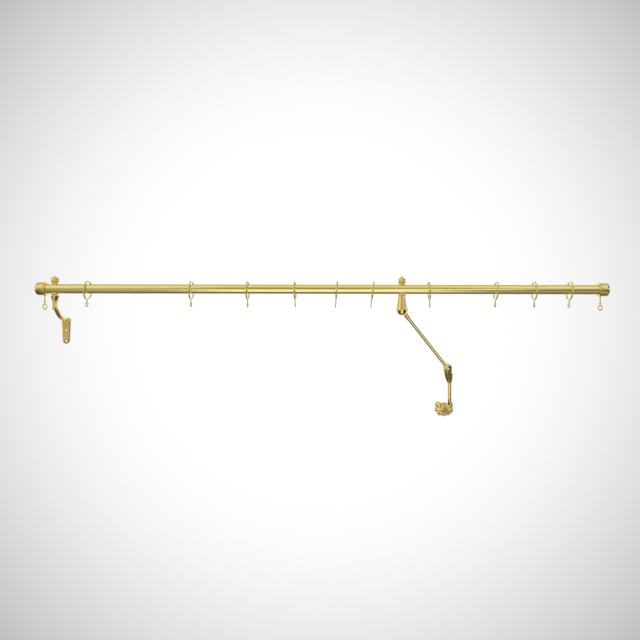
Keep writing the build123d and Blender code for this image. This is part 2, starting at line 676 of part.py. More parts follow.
pieces = {
    "wall_bracket": make_wall_bracket(),
    "swing_screw": make_swing_screw(),
    "knuckle": make_knuckle(),
    "rod_fork": make_rod_fork(),
    "tilt_pin": make_tilt_pin(),
    "rod_tube": make_rod_tube(),
    "left_end_cap": make_end_cap(left_cap_rim, -1),
    "right_end_cap": make_end_cap(right_cap_rim, 1),
    "left_end_eye": make_end_eye(left_cap_rim - end_eye_inset, -end_eye_turn),
    "right_end_eye": make_end_eye(right_cap_rim + end_eye_inset, end_eye_turn),
    "fork_stud": at_rod(0) * make_stud(fork_ceiling_drop),
    "fork_finial_collar": at_rod(0) * make_finial_collar(),
    "fork_finial": at_rod(0) * make_finial(False),
    "link_stud": make_link_stud(),
    "link_finial_collar": at_rod(link_station) * make_finial_collar(),
    "link_finial": at_rod(link_station) * make_finial(True),
    "link_saddle": make_link_saddle(),
    "link_yoke": make_link_yoke(),
    "yoke_pin": make_yoke_pin(),
    "arm_upper_tongue": make_upper_tongue(),
    "arm_bar": make_link_arm(),
    "arm_ferrule": make_ferrule(),
    "arm_lower_tongue": make_lower_tongue(),
    "door_post": make_door_post(),
    "elbow_pin": make_elbow_pin(),
    "door_rose": make_door_rose(),
    "post_screw": make_post_screw(),
}
for number, (station, lean) in enumerate(rings, start=1):
    pieces[f"ring_{number:02d}"] = make_ring(station, lean)
    pieces[f"ring_eye_{number:02d}"] = make_ring_eye(station, lean)

os.makedirs("parts", exist_ok=True)
for name, piece in pieces.items():
    export_step(piece, f"parts/{name}.step")
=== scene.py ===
"""Swing arm curtain rod in polished brass: the finished look of every piece round its fixed frame."""

import sys
import json
import logging
from dataclasses import dataclass, field
from enum import Enum
from math import atan2, cos, exp, pi, radians, sin, sqrt
from typing import Callable, Optional, Sequence, Union

import bmesh
import bpy
from mathutils import Matrix, Vector


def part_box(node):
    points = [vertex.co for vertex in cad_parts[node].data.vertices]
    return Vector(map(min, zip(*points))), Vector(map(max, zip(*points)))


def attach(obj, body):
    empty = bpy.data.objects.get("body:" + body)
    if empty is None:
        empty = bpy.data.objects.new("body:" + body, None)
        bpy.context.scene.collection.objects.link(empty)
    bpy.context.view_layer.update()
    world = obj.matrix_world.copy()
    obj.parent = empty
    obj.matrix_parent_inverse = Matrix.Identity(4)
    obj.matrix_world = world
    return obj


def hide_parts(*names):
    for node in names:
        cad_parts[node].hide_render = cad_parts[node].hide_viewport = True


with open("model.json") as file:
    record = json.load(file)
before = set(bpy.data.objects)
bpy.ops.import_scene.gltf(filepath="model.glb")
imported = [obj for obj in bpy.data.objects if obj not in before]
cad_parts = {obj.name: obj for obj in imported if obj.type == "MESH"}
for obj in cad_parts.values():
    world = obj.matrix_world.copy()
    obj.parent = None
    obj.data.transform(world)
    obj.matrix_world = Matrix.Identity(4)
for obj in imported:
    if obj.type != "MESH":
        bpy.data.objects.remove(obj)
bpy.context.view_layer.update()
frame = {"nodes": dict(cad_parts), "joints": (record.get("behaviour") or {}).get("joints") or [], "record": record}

MM = 0.001
LOG = logging.getLogger("curtain_rod")
Number = Union[float, "Wire"]
Colour = tuple[float, float, float]
Triple = tuple[float, float, float]
Profile = list[tuple[float, float]]


# Graphs of nodes, for materials and for geometry


class Wire:
    """One output socket, with the operators that a formula needs."""

    def __init__(self, graph: "Graph", socket: bpy.types.NodeSocket) -> None:
        """Keep the socket and the graph that it belongs to."""
        self.graph = graph
        self.socket = socket

    def math(self, operation: str, *others: Number, swapped: bool = False) -> "Wire":
        """Add one Math node.

        Args:
            operation: the Math node's operation.
            others: the other operands.
            swapped: True where this socket is the second operand.

        Returns:
            The node's result.
        """
        values = [self, *others]
        if swapped:
            values.reverse()
        inputs = dict(enumerate(values))
        return self.graph.node("ShaderNodeMath", {"operation": operation}, inputs)[0]

    def __add__(self, other: Number) -> "Wire":
        """Sum."""
        return self.math("ADD", other)

    __radd__ = __add__

    def __sub__(self, other: Number) -> "Wire":
        """Difference."""
        return self.math("SUBTRACT", other)

    def __rsub__(self, other: Number) -> "Wire":
        """Difference from a number."""
        return self.math("SUBTRACT", other, swapped=True)

    def __mul__(self, other: Number) -> "Wire":
        """Product."""
        return self.math("MULTIPLY", other)

    __rmul__ = __mul__

    def __truediv__(self, other: Number) -> "Wire":
        """Quotient."""
        return self.math("DIVIDE", other)

    def __pow__(self, other: Number) -> "Wire":
        """Power."""
        return self.math("POWER", other)

    def sine(self) -> "Wire":
        """Sine of an angle in radians."""
        return self.math("SINE")

    def absolute(self) -> "Wire":
        """Absolute value."""
        return self.math("ABSOLUTE")

    def smooth(self, low: float, high: float) -> "Wire":
        """Smooth step from 0 at low to 1 at high."""
        settings = {"interpolation_type": "SMOOTHSTEP"}
        inputs = {0: self, 1: low, 2: high, 3: 0.0, 4: 1.0}
        return self.graph.node("ShaderNodeMapRange", settings, inputs)[0]


class Graph:
    """A node tree that is filled by one method."""

    def __init__(self, tree: bpy.types.NodeTree) -> None:
        """Keep the tree."""
        self.tree = tree

    def node(self, kind: str, settings: Optional[dict] = None, inputs: Optional[dict] = None) -> list[Wire]:
        """Add a node, set it up and link or set its inputs.

        Args:
            kind: the node's type.
            settings: its own settings, with a ramp's stops under "stops".
            inputs: values or wires, by the input's name or number.

        Returns:
            The node's outputs as wires, in order.
        """
        made = self.tree.nodes.new(kind)
        for name, value in (settings or {}).items():
            if name == "stops":
                self._set_stops(made.color_ramp, value)
            else:
                setattr(made, name, value)
        for key, value in (inputs or {}).items():
            socket = made.inputs[key]
            if isinstance(value, Wire):
                self.tree.links.new(value.socket, socket)
            elif isinstance(value, list):
                for wire in value:
                    self.tree.links.new(wire.socket, socket)
            else:
                socket.default_value = value
        return [Wire(self, socket) for socket in made.outputs]

    @staticmethod
    def _set_stops(ramp: bpy.types.ColorRamp, stops: Sequence[tuple[float, Colour]]) -> None:
        """Give a ramp its stops."""
        while len(ramp.elements) < len(stops):
            ramp.elements.new(1.0)
        for element, (position, colour) in zip(ramp.elements, stops):
            element.position = position
            element.color = (*colour, 1.0)


class Shader(Graph):
    """A material's or the world's node tree."""

    def __init__(self, owner: Union[bpy.types.Material, bpy.types.World]) -> None:
        """Start an empty tree on a material or the world."""
        owner.use_nodes = True
        super().__init__(owner.node_tree)
        self.tree.nodes.clear()

    def place(self, stretch: Triple = (1.0, 1.0, 1.0)) -> Wire:
        """Object coordinates, scaled along each axis."""
        coordinates = self.node("ShaderNodeTexCoord")[3]
        return self.node("ShaderNodeMapping", None, {"Vector": coordinates, "Scale": stretch})[0]

    def noise(self, where: Wire, scale: float, detail: float = 3.0) -> Wire:
        """Soft noise from 0 to 1, in features of about one over the scale, in metres."""
        inputs = {"Vector": where, "Scale": scale, "Detail": detail, "Roughness": 0.55}
        return self.node("ShaderNodeTexNoise", None, inputs)[0]

    def mix(self, share: Number, first: Union[Wire, Colour], second: Union[Wire, Colour]) -> Wire:
        """Mix two colours."""
        ends = [c if isinstance(c, Wire) else (*c, 1.0) for c in (first, second)]
        return self.node("ShaderNodeMix", {"data_type": "RGBA"}, {0: share, 6: ends[0], 7: ends[1]})[2]

    def either(self, share: Wire, first: Wire, second: Wire) -> Wire:
        """Mix two surfaces."""
        return self.node("ShaderNodeMixShader", None, {0: share, 1: first, 2: second})[0]

    def glow(self, kind: str, colour: Union[Wire, Colour], strength: float = 1.0) -> Wire:
        """A surface or a sky that shines by itself."""
        shade = colour if isinstance(colour, Wire) else (*colour, 1.0)
        return self.node(kind, None, {"Color": shade, "Strength": strength})[0]

    def shown(self, surface: Wire, kind: str = "ShaderNodeOutputMaterial") -> None:
        """End the tree in a surface."""
        self.node(kind, None, {"Surface": surface})

    def metal(self, colour: Wire, rough: Wire, height: Wire) -> None:
        """End the tree in bare metal, with its relief in millimetres."""
        relief = {"Strength": 1.0, "Distance": MM, "Height": height}
        normal = self.node("ShaderNodeBump", None, relief)[0]
        inputs = {"Base Color": colour, "Metallic": 1.0, "Roughness": rough, "Normal": normal}
        self.shown(self.node("ShaderNodeBsdfPrincipled", None, inputs)[0])


class GeometryTree(Graph):
    """A Geometry Nodes tree with named sizes in millimetres and one finish."""

    def __init__(self, name: str) -> None:
        """Start an empty tree with one geometry output."""
        tree = bpy.data.node_groups.new(name, "GeometryNodeTree")
        tree.interface.new_socket("Geometry", in_out="OUTPUT", socket_type="NodeSocketGeometry")
        super().__init__(tree)
        self.entry = tree.nodes.new("NodeGroupInput")
        self.exit = tree.nodes.new("NodeGroupOutput")

    def size(self, name: str) -> Wire:
        """Add a named input for a size."""
        self.tree.interface.new_socket(name, in_out="INPUT", socket_type="NodeSocketFloat")
        return Wire(self, self.entry.outputs[name])

    def vector(self, x: Number = 0.0, y: Number = 0.0, z: Number = 0.0) -> Wire:
        """Three numbers as a vector."""
        return self.node("ShaderNodeCombineXYZ", None, {0: x, 1: y, 2: z})[0]

    def bar(self, low: Number, high: Number, radius: Number, sides: int = 24) -> Wire:
        """A round bar along Z between two heights, closed at both ends."""
        ends = {0: self.vector(z=low), 1: self.vector(z=high)}
        line = self.node("GeometryNodeCurvePrimitiveLine", None, ends)[0]
        section = self.node("GeometryNodeCurvePrimitiveCircle", None, {0: sides, 4: radius})[0]
        inputs = {"Curve": line, "Profile Curve": section, "Fill Caps": True}
        return self.node("GeometryNodeCurveToMesh", None, inputs)[0]

    def hoop(self, centre_radius: Number, wire_radius: Number, around: int, sides: int) -> Wire:
        """A round wire hoop about Z."""
        circle = self.node("GeometryNodeCurvePrimitiveCircle", None, {0: around, 4: centre_radius})[0]
        section = self.node("GeometryNodeCurvePrimitiveCircle", None, {0: sides, 4: wire_radius})[0]
        return self.node("GeometryNodeCurveToMesh", None, {"Curve": circle, "Profile Curve": section})[0]

    def moved(
        self, geometry: Wire, shift: Wire, turn: Triple = (0.0, 0.0, 0.0), grow: Triple = (1.0, 1.0, 1.0)
    ) -> Wire:
        """Turn, scale and shift a geometry."""
        inputs = {"Geometry": geometry, "Translation": shift, "Rotation": turn, "Scale": grow}
        return self.node("GeometryNodeTransform", None, inputs)[0]

    def finish(self, geometries: list[Wire], material: bpy.types.Material) -> bpy.types.NodeTree:
        """Join, realise, smooth and dress the geometry, scaled from millimetres to metres."""
        joined = self.node("GeometryNodeJoinGeometry", None, {0: geometries})[0]
        scaled = self.moved(joined, self.vector(), grow=(MM, MM, MM))
        real = self.node("GeometryNodeRealizeInstances", None, {0: scaled})[0]
        smooth = self.node("GeometryNodeSetShadeSmooth", None, {0: real})[0]
        dressed = self.node("GeometryNodeSetMaterial", None, {"Geometry": smooth, "Material": material})[0]
        self.tree.links.new(dressed.socket, self.exit.inputs[0])
        return self.tree


def grown(name: str, tree: bpy.types.NodeTree, sizes: dict[str, float], place: Matrix) -> bpy.types.Object:
    """Run a geometry tree with its sizes and keep the result as a plain mesh in its place.

    Args:
        name: the piece's name.
        tree: the geometry tree.
        sizes: its named inputs, in millimetres.
        place: where the piece goes, in metres.

    Returns:
        The piece, with no modifier left.
    """
    carrier = linked(name, bpy.data.meshes.new(name))
    modifier = carrier.modifiers.new("sizes", "NODES")
    modifier.node_group = tree
    for item in tree.interface.items_tree:
        if item.in_out == "INPUT":
            modifier[item.identifier] = float(sizes[item.name])
    piece = settled(carrier)
    piece.data.transform(place)
    return piece


# Meshes made by hand


@dataclass
class Shell:
    """Closed surfaces, in millimetres."""

    points: list[Vector] = field(default_factory=list)
    faces: list[tuple[int, ...]] = field(default_factory=list)

    def __add__(self, other: "Shell") -> "Shell":
        """Both shells together."""
        start = len(self.points)
        moved = [tuple(i + start for i in face) for face in other.faces]
        return Shell(self.points + other.points, self.faces + moved)

    def placed(self, place: Matrix) -> "Shell":
        """The shell moved by a matrix."""
        return Shell([place @ p for p in self.points], self.faces)

    def bent(self, rule: Callable[[Vector], Vector]) -> "Shell":
        """The shell with each point moved by a rule."""
        return Shell([rule(p) for p in self.points], self.faces)

    def flat_backed(self) -> "Shell":
        """The shell with what lies behind the wall's face pressed flat onto it."""
        return self.bent(lambda p: Vector((p.x, min(p.y, 0.0), p.z)))

    def piece(self, name: str, sharp: float = 50.0) -> bpy.types.Object:
        """Make the shell an object in metres.

        Args:
            name: the object's name.
            sharp: edges steeper than this many degrees stay crisp.

        Returns:
            The object, smooth shaded and with its faces pointing out.
        """
        mesh = bpy.data.meshes.new(name)
        mesh.from_pydata([p * MM for p in self.points], [], self.faces)
        work = bmesh.new()
        work.from_mesh(mesh)
        bmesh.ops.recalc_face_normals(work, faces=work.faces)
        work.to_mesh(mesh)
        work.free()
        mesh.shade_smooth()
        mesh.set_sharp_from_angle(angle=radians(sharp))
        return linked(name, mesh)


def linked(name: str, data: bpy.types.ID) -> bpy.types.Object:
    """A new object in the scene, round a mesh, a lamp or a camera."""
    made = bpy.data.objects.new(name, data)
    bpy.context.scene.collection.objects.link(made)
    return made


def settled(piece: bpy.types.Object) -> bpy.types.Object:
    """Turn a piece's modifiers into plain mesh and remove them."""
    bpy.context.view_layer.update()
    graph = bpy.context.evaluated_depsgraph_get()
    mesh = bpy.data.meshes.new_from_object(piece.evaluated_get(graph))
    piece.modifiers.clear()
    old = piece.data
    piece.data = mesh
    bpy.data.meshes.remove(old)
    mesh.name = piece.name
    return piece


# A corner is left alone where half its angle is more than this
STRAIGHT = radians(85)
# The most of a side that an arc takes up
ARC_SHARE = 0.4
# Where the point that keeps a side flat stands: in arcs from the corner, and at most in shares of the side
FLAT_REACH = 1.5
FLAT_SHARE = 0.45


def rounded(outline: Profile, radius: float, steps: int = 4) -> Profile:
    """Round the inner corners of an open outline.

    Args:
        outline: (radius, height) points.
        radius: the corner radius, less where a side is short.
        steps: chords in each corner.

    Returns:
        The outline with each corner as an arc, and a point beyond each arc to keep the sides flat.
    """
    result = [outline[0]]
    for before, corner, after in zip(outline, outline[1:], outline[2:]):
        here = Vector(corner)
        back = Vector(before) - here
        ahead = Vector(after) - here
        half = back.angle(ahead, pi) / 2
        if half > STRAIGHT:
            result.append(corner)
            continue
        slope = max(sin(half) / cos(half), 1e-6)
        reach = min(radius / slope, ARC_SHARE * back.length, ARC_SHARE * ahead.length)
        start = here + back.normalized() * reach
        end = here + ahead.normalized() * reach
        result.append(tuple(here + back.normalized() * min(FLAT_REACH * reach, FLAT_SHARE * back.length)))
        for i in range(steps + 1):
            t = i / steps
            curve = start * (1 - t) ** 2 + here * 2 * t * (1 - t) + end * t**2
            result.append(tuple(curve))
        result.append(tuple(here + ahead.normalized() * min(FLAT_REACH * reach, FLAT_SHARE * ahead.length)))
    result.append(outline[-1])
    return result


def lathe(outline: Profile, sides: int = 72) -> Shell:
    """Turn an outline about Z.

    Args:
        outline: (radius, height) points, closed to the axis or back to its start by itself.
        sides: how many faces there are round the axis.

    Returns:
        The turned shell.
    """
    shell = Shell()
    rings: list[list[int]] = []
    for radius, height in outline:
        if radius < 1e-6:
            shell.points.append(Vector((0, 0, height)))
            rings.append([len(shell.points) - 1] * sides)
            continue
        start = len(shell.points)
        for i in range(sides):
            angle = 2 * pi * i / sides
            shell.points.append(Vector((radius * cos(angle), radius * sin(angle), height)))
        rings.append(list(range(start, start + sides)))
    for low, high in zip(rings, rings[1:]):
        for i in range(sides):
            j = (i + 1) % sides
            face = list(dict.fromkeys((low[i], low[j], high[j], high[i])))
            if len(face) > 2:
                shell.faces.append(tuple(face))
    return shell


def hollow(outline: Profile, sides: int) -> Shell:
    """Turn a closed outline that stays clear of the axis, with its last row joined to its first."""
    shell = lathe(outline + outline[:1], sides)
    last = len(outline) * sides
    faces = [tuple(i % last for i in face) for face in shell.faces]
    return Shell(shell.points[:last], faces)


def tube_along(path: Sequence[Vector], radii: Sequence[float], sides: int = 40) -> Shell:
    """A round bar along a path, closed by a flat face at each end.

    Args:
        path: points along the middle of the bar.
        radii: the bar's radius at each point.
        sides: faces round the bar.

    Returns:
        The closed shell.
    """
    shell = Shell()
    across = Vector((1, 0, 0))
    for i, (point, radius) in enumerate(zip(path, radii)):
        along = (path[min(i + 1, len(path) - 1)] - path[max(i - 1, 0)]).normalized()
        across = (across - along * across.dot(along)).normalized()
        other = along.cross(across)
        for k in range(sides):
            angle = 2 * pi * k / sides
            shell.points.append(point + radius * (cos(angle) * across + sin(angle) * other))
    for i in range(len(path) - 1):
        for k in range(sides):
            j = (k + 1) % sides
            low = i * sides
            high = low + sides
            shell.faces.append((low + k, low + j, high + j, high + k))
    shell.faces.append(tuple(range(sides)))
    shell.faces.append(tuple(range(len(shell.points) - sides, len(shell.points))))
    return shell


def ball(across: float, deep: float, long: float, sides: int = 48) -> Shell:
    """A ball stretched along X, Y and Z, with its poles on Z."""
    outline = [(sin(pi * i / sides), -cos(pi * i / sides)) for i in range(sides + 1)]
    outline[0] = (0.0, -1.0)
    outline[-1] = (0.0, 1.0)
    return lathe(outline, sides).placed(Matrix.Diagonal((across / 2, deep / 2, long / 2, 1)))


def cast_copy(node: str, name: str, grain: float, passes: int) -> bpy.types.Object:
    """Copy a node's form with the softened edges of a casting that has been polished.

    Args:
        node: the CAD node.
        name: the new piece's name.
        grain: the size of the new faces, in millimetres.
        passes: how often the surface is smoothed.

    Returns:
        The softened piece.
    """
    mesh = frame["nodes"][node].data.copy()
    work = bmesh.new()
    work.from_mesh(mesh)
    bmesh.ops.remove_doubles(work, verts=work.verts, dist=0.01 * MM)
    work.to_mesh(mesh)
    work.free()
    return softened(linked(name, mesh), grain, passes)


def softened(piece: bpy.types.Object, grain: float, passes: int) -> bpy.types.Object:
    """Remesh a piece evenly, as one closed skin, and smooth it."""
    skin = piece.modifiers.new("skin", "REMESH")
    skin.mode = "VOXEL"
    skin.voxel_size = grain * MM
    skin.use_smooth_shade = True
    polish = piece.modifiers.new("polish", "SMOOTH")
    polish.factor = 0.5
    polish.iterations = passes
    settled(piece)
    piece.data.shade_smooth()
    return piece


# Finishes


class Slot(Enum):
    """The record's material slots."""

    ROD = "rod_brass"
    CAST = "cast_brass"
    TURNED = "turned_brass"
    RING = "ring_brass"
    STEEL = "plain_steel"


@dataclass(frozen=True)
class BrassFinish:
    """Polished and lacquered brass that has dulled a little with age, with painted shade darkening its crevices.

    Scales are features to the metre, about, and depths are in millimetres.
    """

    name: str
    slot: Slot
    bright: Colour = (0.90, 0.71, 0.285)
    warm: Colour = (0.85, 0.645, 0.235)
    # The dark colour of the wear specks and of the painted crevice shade.
    dulled_and_shaded: Colour = (0.36, 0.275, 0.095)
    roughness: float = 0.07
    roughness_spread: float = 0.08
    brushed: Triple = (1.0, 1.0, 1.0)
    brushed_scale: float = 900.0
    brushed_depth: float = 0.002
    ripple_depth: float = 0.012
    # How much painted shade darkens the crevices, found by ambient occlusion, and how far that reaches.
    crevice_shade: float = 0.0
    crevice_shade_reach: float = 2.4
    pits: float = 0.0
    pit_scale: float = 420.0
    cloud_scale: float = 26.0
    mottle_scale: float = 160.0
    ripple_scale: float = 70.0
    speck_scale: float = 620.0
    worn_roughness: float = 0.18

    def material(self) -> bpy.types.Material:
        """Build the material, in Object coordinates throughout."""
        made = bpy.data.materials.new(self.name)
        made.diffuse_color = (*self.bright, 1.0)
        shader = Shader(made)
        where = shader.place()
        cloud = shader.noise(where, self.cloud_scale, 4.0)
        mottle = shader.noise(where, self.mottle_scale, 5.0)
        lines = shader.noise(shader.place(self.brushed), self.brushed_scale, 2.0)
        ripple = shader.noise(where, self.ripple_scale, 1.0)
        specks = shader.noise(where, self.speck_scale, 2.0).smooth(0.66, 0.74) * mottle.smooth(0.5, 0.66)
        colour = shader.mix(cloud.smooth(0.35, 0.75) * 0.55, self.bright, self.warm)
        wear_and_crevice_shade = specks * 0.55 + mottle.smooth(0.58, 0.8) * 0.16
        # Painted shade: ambient occlusion darkens the crevices towards the dark colour and roughens them.
        if self.crevice_shade:
            settings = {"samples": 6, "only_local": True}
            reach = {"Distance": self.crevice_shade_reach * MM}
            openness = shader.node("ShaderNodeAmbientOcclusion", settings, reach)[1]
            wear_and_crevice_shade = wear_and_crevice_shade + (1.0 - openness).smooth(0.25, 0.95) * self.crevice_shade
        # The dark colour takes both the wear specks and the painted crevice shade.
        colour = shader.mix(wear_and_crevice_shade.smooth(0.0, 1.0), colour, self.dulled_and_shaded)
        spread = (lines * 0.5 + mottle * 0.5) * self.roughness_spread
        rough = self.roughness + spread + wear_and_crevice_shade * self.worn_roughness
        height = lines * self.brushed_depth + ripple * self.ripple_depth
        if self.pits:
            height = height + shader.noise(where, self.pit_scale, 3.0).smooth(0.3, 0.6) * self.pits
        shader.metal(colour, rough, height)
        return made


@dataclass(frozen=True)
class SteelFinish:
    """Plain steel of the screws and studs."""

    name: str = "bright_screw_steel"
    slot: Slot = Slot.STEEL
    grey: Colour = (0.52, 0.51, 0.49)
    dark: Colour = (0.20, 0.18, 0.16)
    roughness: float = 0.34
    patch_scale: float = 300.0
    mark_scale: float = 700.0
    mark_stretch: Triple = (1.0, 1.0, 12.0)
    mark_roughness: float = 0.16
    mark_depth: float = 0.02

    def material(self) -> bpy.types.Material:
        """Build the material, with fine turning marks and a few dull patches."""
        made = bpy.data.materials.new(self.name)
        made.diffuse_color = (*self.grey, 1.0)
        shader = Shader(made)
        where = shader.place()
        patches = shader.noise(where, self.patch_scale, 4.0)
        marks = shader.noise(shader.place(self.mark_stretch), self.mark_scale, 2.0)
        colour = shader.mix(patches.smooth(0.5, 0.75), self.grey, self.dark)
        shader.metal(colour, marks * self.mark_roughness + self.roughness, marks * self.mark_depth)
        return made


class Finishes:
    """The workshop's finishes, one material for each."""

    def __init__(self) -> None:
        """Build every material once."""
        along_x = (0.03, 1.0, 1.0)
        round_z = (1.0, 1.0, 9.0)
        pale = {"bright": (0.88, 0.755, 0.31), "warm": (0.84, 0.70, 0.265)}
        choices = (
            BrassFinish("drawn_tube_brass", Slot.ROD, brushed=along_x, **pale),
            # The crevice numbers set how much painted shade darkens each finish's crevices.
            BrassFinish("cast_bracket_brass", Slot.CAST, crevice_shade=0.32, pits=0.001, ripple_depth=0.02),
            BrassFinish("turned_knob_brass", Slot.TURNED, crevice_shade=0.35, brushed=round_z),
            BrassFinish("drawn_wire_brass", Slot.RING, roughness=0.1, crevice_shade=0.2, **pale),
            SteelFinish(),
        )
        self.made = {choice.slot: choice.material() for choice in choices}

    def dress(self, piece: bpy.types.Object, slot: Slot, body: str, *nodes: str) -> bpy.types.Object:
        """Give a piece its finish and its body.

        Args:
            piece: the finished mesh.
            slot: the finish.
            body: the CAD body that it rides on.
            nodes: the CAD nodes that it stands for.

        Returns:
            The piece.
        """
        piece.data.materials.clear()
        piece.data.materials.append(self.made[slot])
        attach(piece, body)
        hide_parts(*nodes)
        LOG.info("%s: %d faces, on %s", piece.name, len(piece.data.polygons), body)
        return piece

    def cast(self, node: str, name: str, body: str, grain: float, passes: int) -> None:
        """Copy a cast node with softened edges and dress the copy.

        Args:
            node: the CAD node.
            name: the new piece's name.
            body: the CAD body that it rides on.
            grain: the size of the new faces, in millimetres.
            passes: how often the surface is smoothed.
        """
        self.dress(cast_copy(node, name, grain, passes), Slot.CAST, body, node)

    def pin(self, node: str, name: str, body: str, edge: float) -> None:
        """Turn a plain cross pin with its ends rounded by an edge radius, and dress it."""
        self.dress(cross_pin(node, name, edge), Slot.TURNED, body, node)

    def keep(self, node: str, slot: Slot = Slot.STEEL) -> None:
        """Give a CAD node that stays its finish."""
        piece = frame["nodes"][node]
        if not piece.material_slots:
            piece.data.materials.append(None)
        for each in piece.material_slots:
            each.material = self.made[slot]
        LOG.info("%s keeps its form, in %s", node, slot.value)


# Places that come from the frame


def joint_place(name: str) -> Vector:
    """A joint's place, in millimetres."""
    found = next(joint for joint in frame["joints"] if joint["name"] == name)
    return Vector(found["pos_m"]) / MM


def mount_place(name: str) -> Vector:
    """A mount's place, in millimetres."""
    found = next(mount for mount in frame["record"]["mounts"] if mount["name"] == name)
    return Vector(found["pos_m"]) / MM


def node_box(node: str) -> tuple[Vector, Vector]:
    """A node's lowest and highest corners, in millimetres."""
    low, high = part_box(node)
    return low / MM, high / MM


def node_centre(node: str) -> Vector:
    """The middle of a node's box, in millimetres."""
    low, high = node_box(node)
    return (low + high) / 2


def facing(direction: Vector) -> Matrix:
    """The turn that brings Z to a direction."""
    return direction.to_track_quat("Z", "Y").to_matrix().to_4x4()


ROD_AXIS = node_centre("rod_tube")
ALONG = Vector((1, 0, 0))
BACK = Vector((0, 1, 0))
UP = Vector((0, 0, 1))


def on_rod(station: float) -> Vector:
    """The point on the rod's axis at a distance from the swing axis."""
    return Vector((station, ROD_AXIS.y, ROD_AXIS.z))


# The rod and what is fixed to it


@dataclass
class Rod:
    """The drawn tube, its two turned end caps and their screw eyes."""

    finishes: Finishes
    body: str = "rod_body"
    tube_wall: float = 1.0
    tube_edge: float = 0.2
    tube_rows: int = 40
    cap_bead: float = 26.6
    cap_bead_width: float = 1.6
    cap_groove: float = 24.6
    cap_groove_width: float = 0.8
    cap_across: float = 26.0
    cap_dome: float = 5.0
    cap_floor: float = 3.2
    cap_fit: float = 0.02
    cap_edge: float = 0.35
    cap_crown_drop: float = 0.02
    eye_wire: float = 2.2
    eye_outside: float = 12.0
    eye_stem: float = 2.6
    eye_bead: float = 4.0
    eye_bead_drop: float = 26.0
    eye_flange: float = 4.6
    eye_flange_height: float = 1.0
    eye_turn: float = 20.0

    def make(self) -> None:
        """Build every piece of the rod itself."""
        self.tube()
        self.cap("left_end_cap", "left_cap_turning", -1)
        self.cap("right_end_cap", "right_cap_turning", 1)
        tree = wire_eye_tree("cap_screw_eye", self.finishes.made[Slot.TURNED])
        self.eye(tree, "left_end_eye", "left_cap_eye", -self.eye_turn)
        self.eye(tree, "right_end_eye", "right_cap_eye", self.eye_turn)

    def tube(self) -> None:
        """The open tube, with its two ends inside the caps."""
        low, high = node_box("rod_tube")
        outer = (high.z - low.z) / 2
        inner = outer - self.tube_wall
        length = high.x - low.x
        rows = [(outer, length * i / self.tube_rows) for i in range(self.tube_rows + 1)]
        outline = rounded(rows + [(inner, length), (inner, 0.0)], self.tube_edge, 2)
        place = Matrix.Translation((low.x, ROD_AXIS.y, ROD_AXIS.z)) @ facing(ALONG)
        piece = hollow(outline, 128).placed(place).piece("drawn_tube")
        self.finishes.dress(piece, Slot.ROD, self.body, "rod_tube")

    def cap(self, node: str, name: str, side: int) -> None:
        """One cap: a bead at the rim, a groove and a body with a softly domed end."""
        low, high = node_box(node)
        length = high.x - low.x
        rim = high.x if side < 0 else low.x
        bore = (node_box("rod_tube")[1].z - ROD_AXIS.z) + self.cap_fit
        groove_start = self.cap_bead_width
        groove_end = groove_start + self.cap_groove_width
        body = self.cap_across / 2
        crown = [
            (body - self.cap_dome * (1 - cos(a)), length - self.cap_dome * (1 - sin(a)))
            for a in (radians(angle) for angle in range(0, 82, 9))
        ]
        outline = [
            (0.0, length - self.cap_floor),
            (bore, length - self.cap_floor),
            (bore, 0.0),
            (self.cap_bead / 2, 0.0),
            (self.cap_bead / 2, groove_start),
            (self.cap_groove / 2, groove_start),
            (self.cap_groove / 2, groove_end),
            (body, groove_end),
            *crown,
            (crown[-1][0] / 2, length - self.cap_crown_drop),
            (0.0, length),
        ]
        place = Matrix.Translation((rim, ROD_AXIS.y, ROD_AXIS.z)) @ facing(ALONG * side)
        piece = lathe(rounded(outline, self.cap_edge), 96).placed(place).piece(name)
        self.finishes.dress(piece, Slot.TURNED, self.body, node)

    def eye(self, tree: bpy.types.NodeTree, node: str, name: str, turn: float) -> None:
        """One screw eye below a cap."""
        loop = mount_place(f"{node}_loop")
        top = node_box(node)[1].z
        above_axis = top - ROD_AXIS.z
        sizes = {
            "Loop middle": (self.eye_outside - self.eye_wire) / 2,
            "Loop wire": self.eye_wire / 2,
            "Loop drop": top - loop.z,
            "Stem": self.eye_stem / 2,
            "Bead": self.eye_bead / 2,
            "Bead drop": above_axis + self.eye_bead_drop,
            "Foot": self.eye_flange / 2,
            "Foot top": above_axis + self.cap_across / 2,
            "Foot height": self.eye_flange_height,
        }
        place = Matrix.Translation(Vector((loop.x, loop.y, top)) * MM)
        place = place @ Matrix.Rotation(radians(turn + 90), 4, "Z")
        self.finishes.dress(grown(name, tree, sizes, place), Slot.TURNED, self.body, node)


def wire_eye_tree(title: str, material: bpy.types.Material) -> bpy.types.NodeTree:
    """The tree of a loop on a footed stem, hanging from the origin, with the loop's hole along X.

    Args:
        title: the tree's name.
        material: its finish.

    Returns:
        The tree, with its sizes as named inputs.
    """
    tree = GeometryTree(title)
    middle, wire, drop = (tree.size(name) for name in ("Loop middle", "Loop wire", "Loop drop"))
    stem, bead, bead_drop = (tree.size(name) for name in ("Stem", "Bead", "Bead drop"))
    foot, foot_top, foot_height = (tree.size(name) for name in ("Foot", "Foot top", "Foot height"))
    hoop = tree.moved(tree.hoop(middle, wire, 72, 24), tree.vector(z=drop * -1.0), (0.0, pi / 2, 0.0))
    shank = tree.bar(0.0, middle - drop, stem)
    sphere = tree.node("GeometryNodeMeshUVSphere", None, {"Segments": 32, "Rings": 20, "Radius": bead})[0]
    sphere = tree.moved(sphere, tree.vector(z=bead_drop * -1.0))
    flare = {"Vertices": 32, "Radius Top": foot, "Radius Bottom": stem, "Depth": foot_height}
    cone = tree.node("GeometryNodeMeshCone", None, flare)[0]
    cone = tree.moved(cone, tree.vector(z=(foot_top + foot_height) * -1.0))
    return tree.finish([hoop, shank, sphere, cone], material)


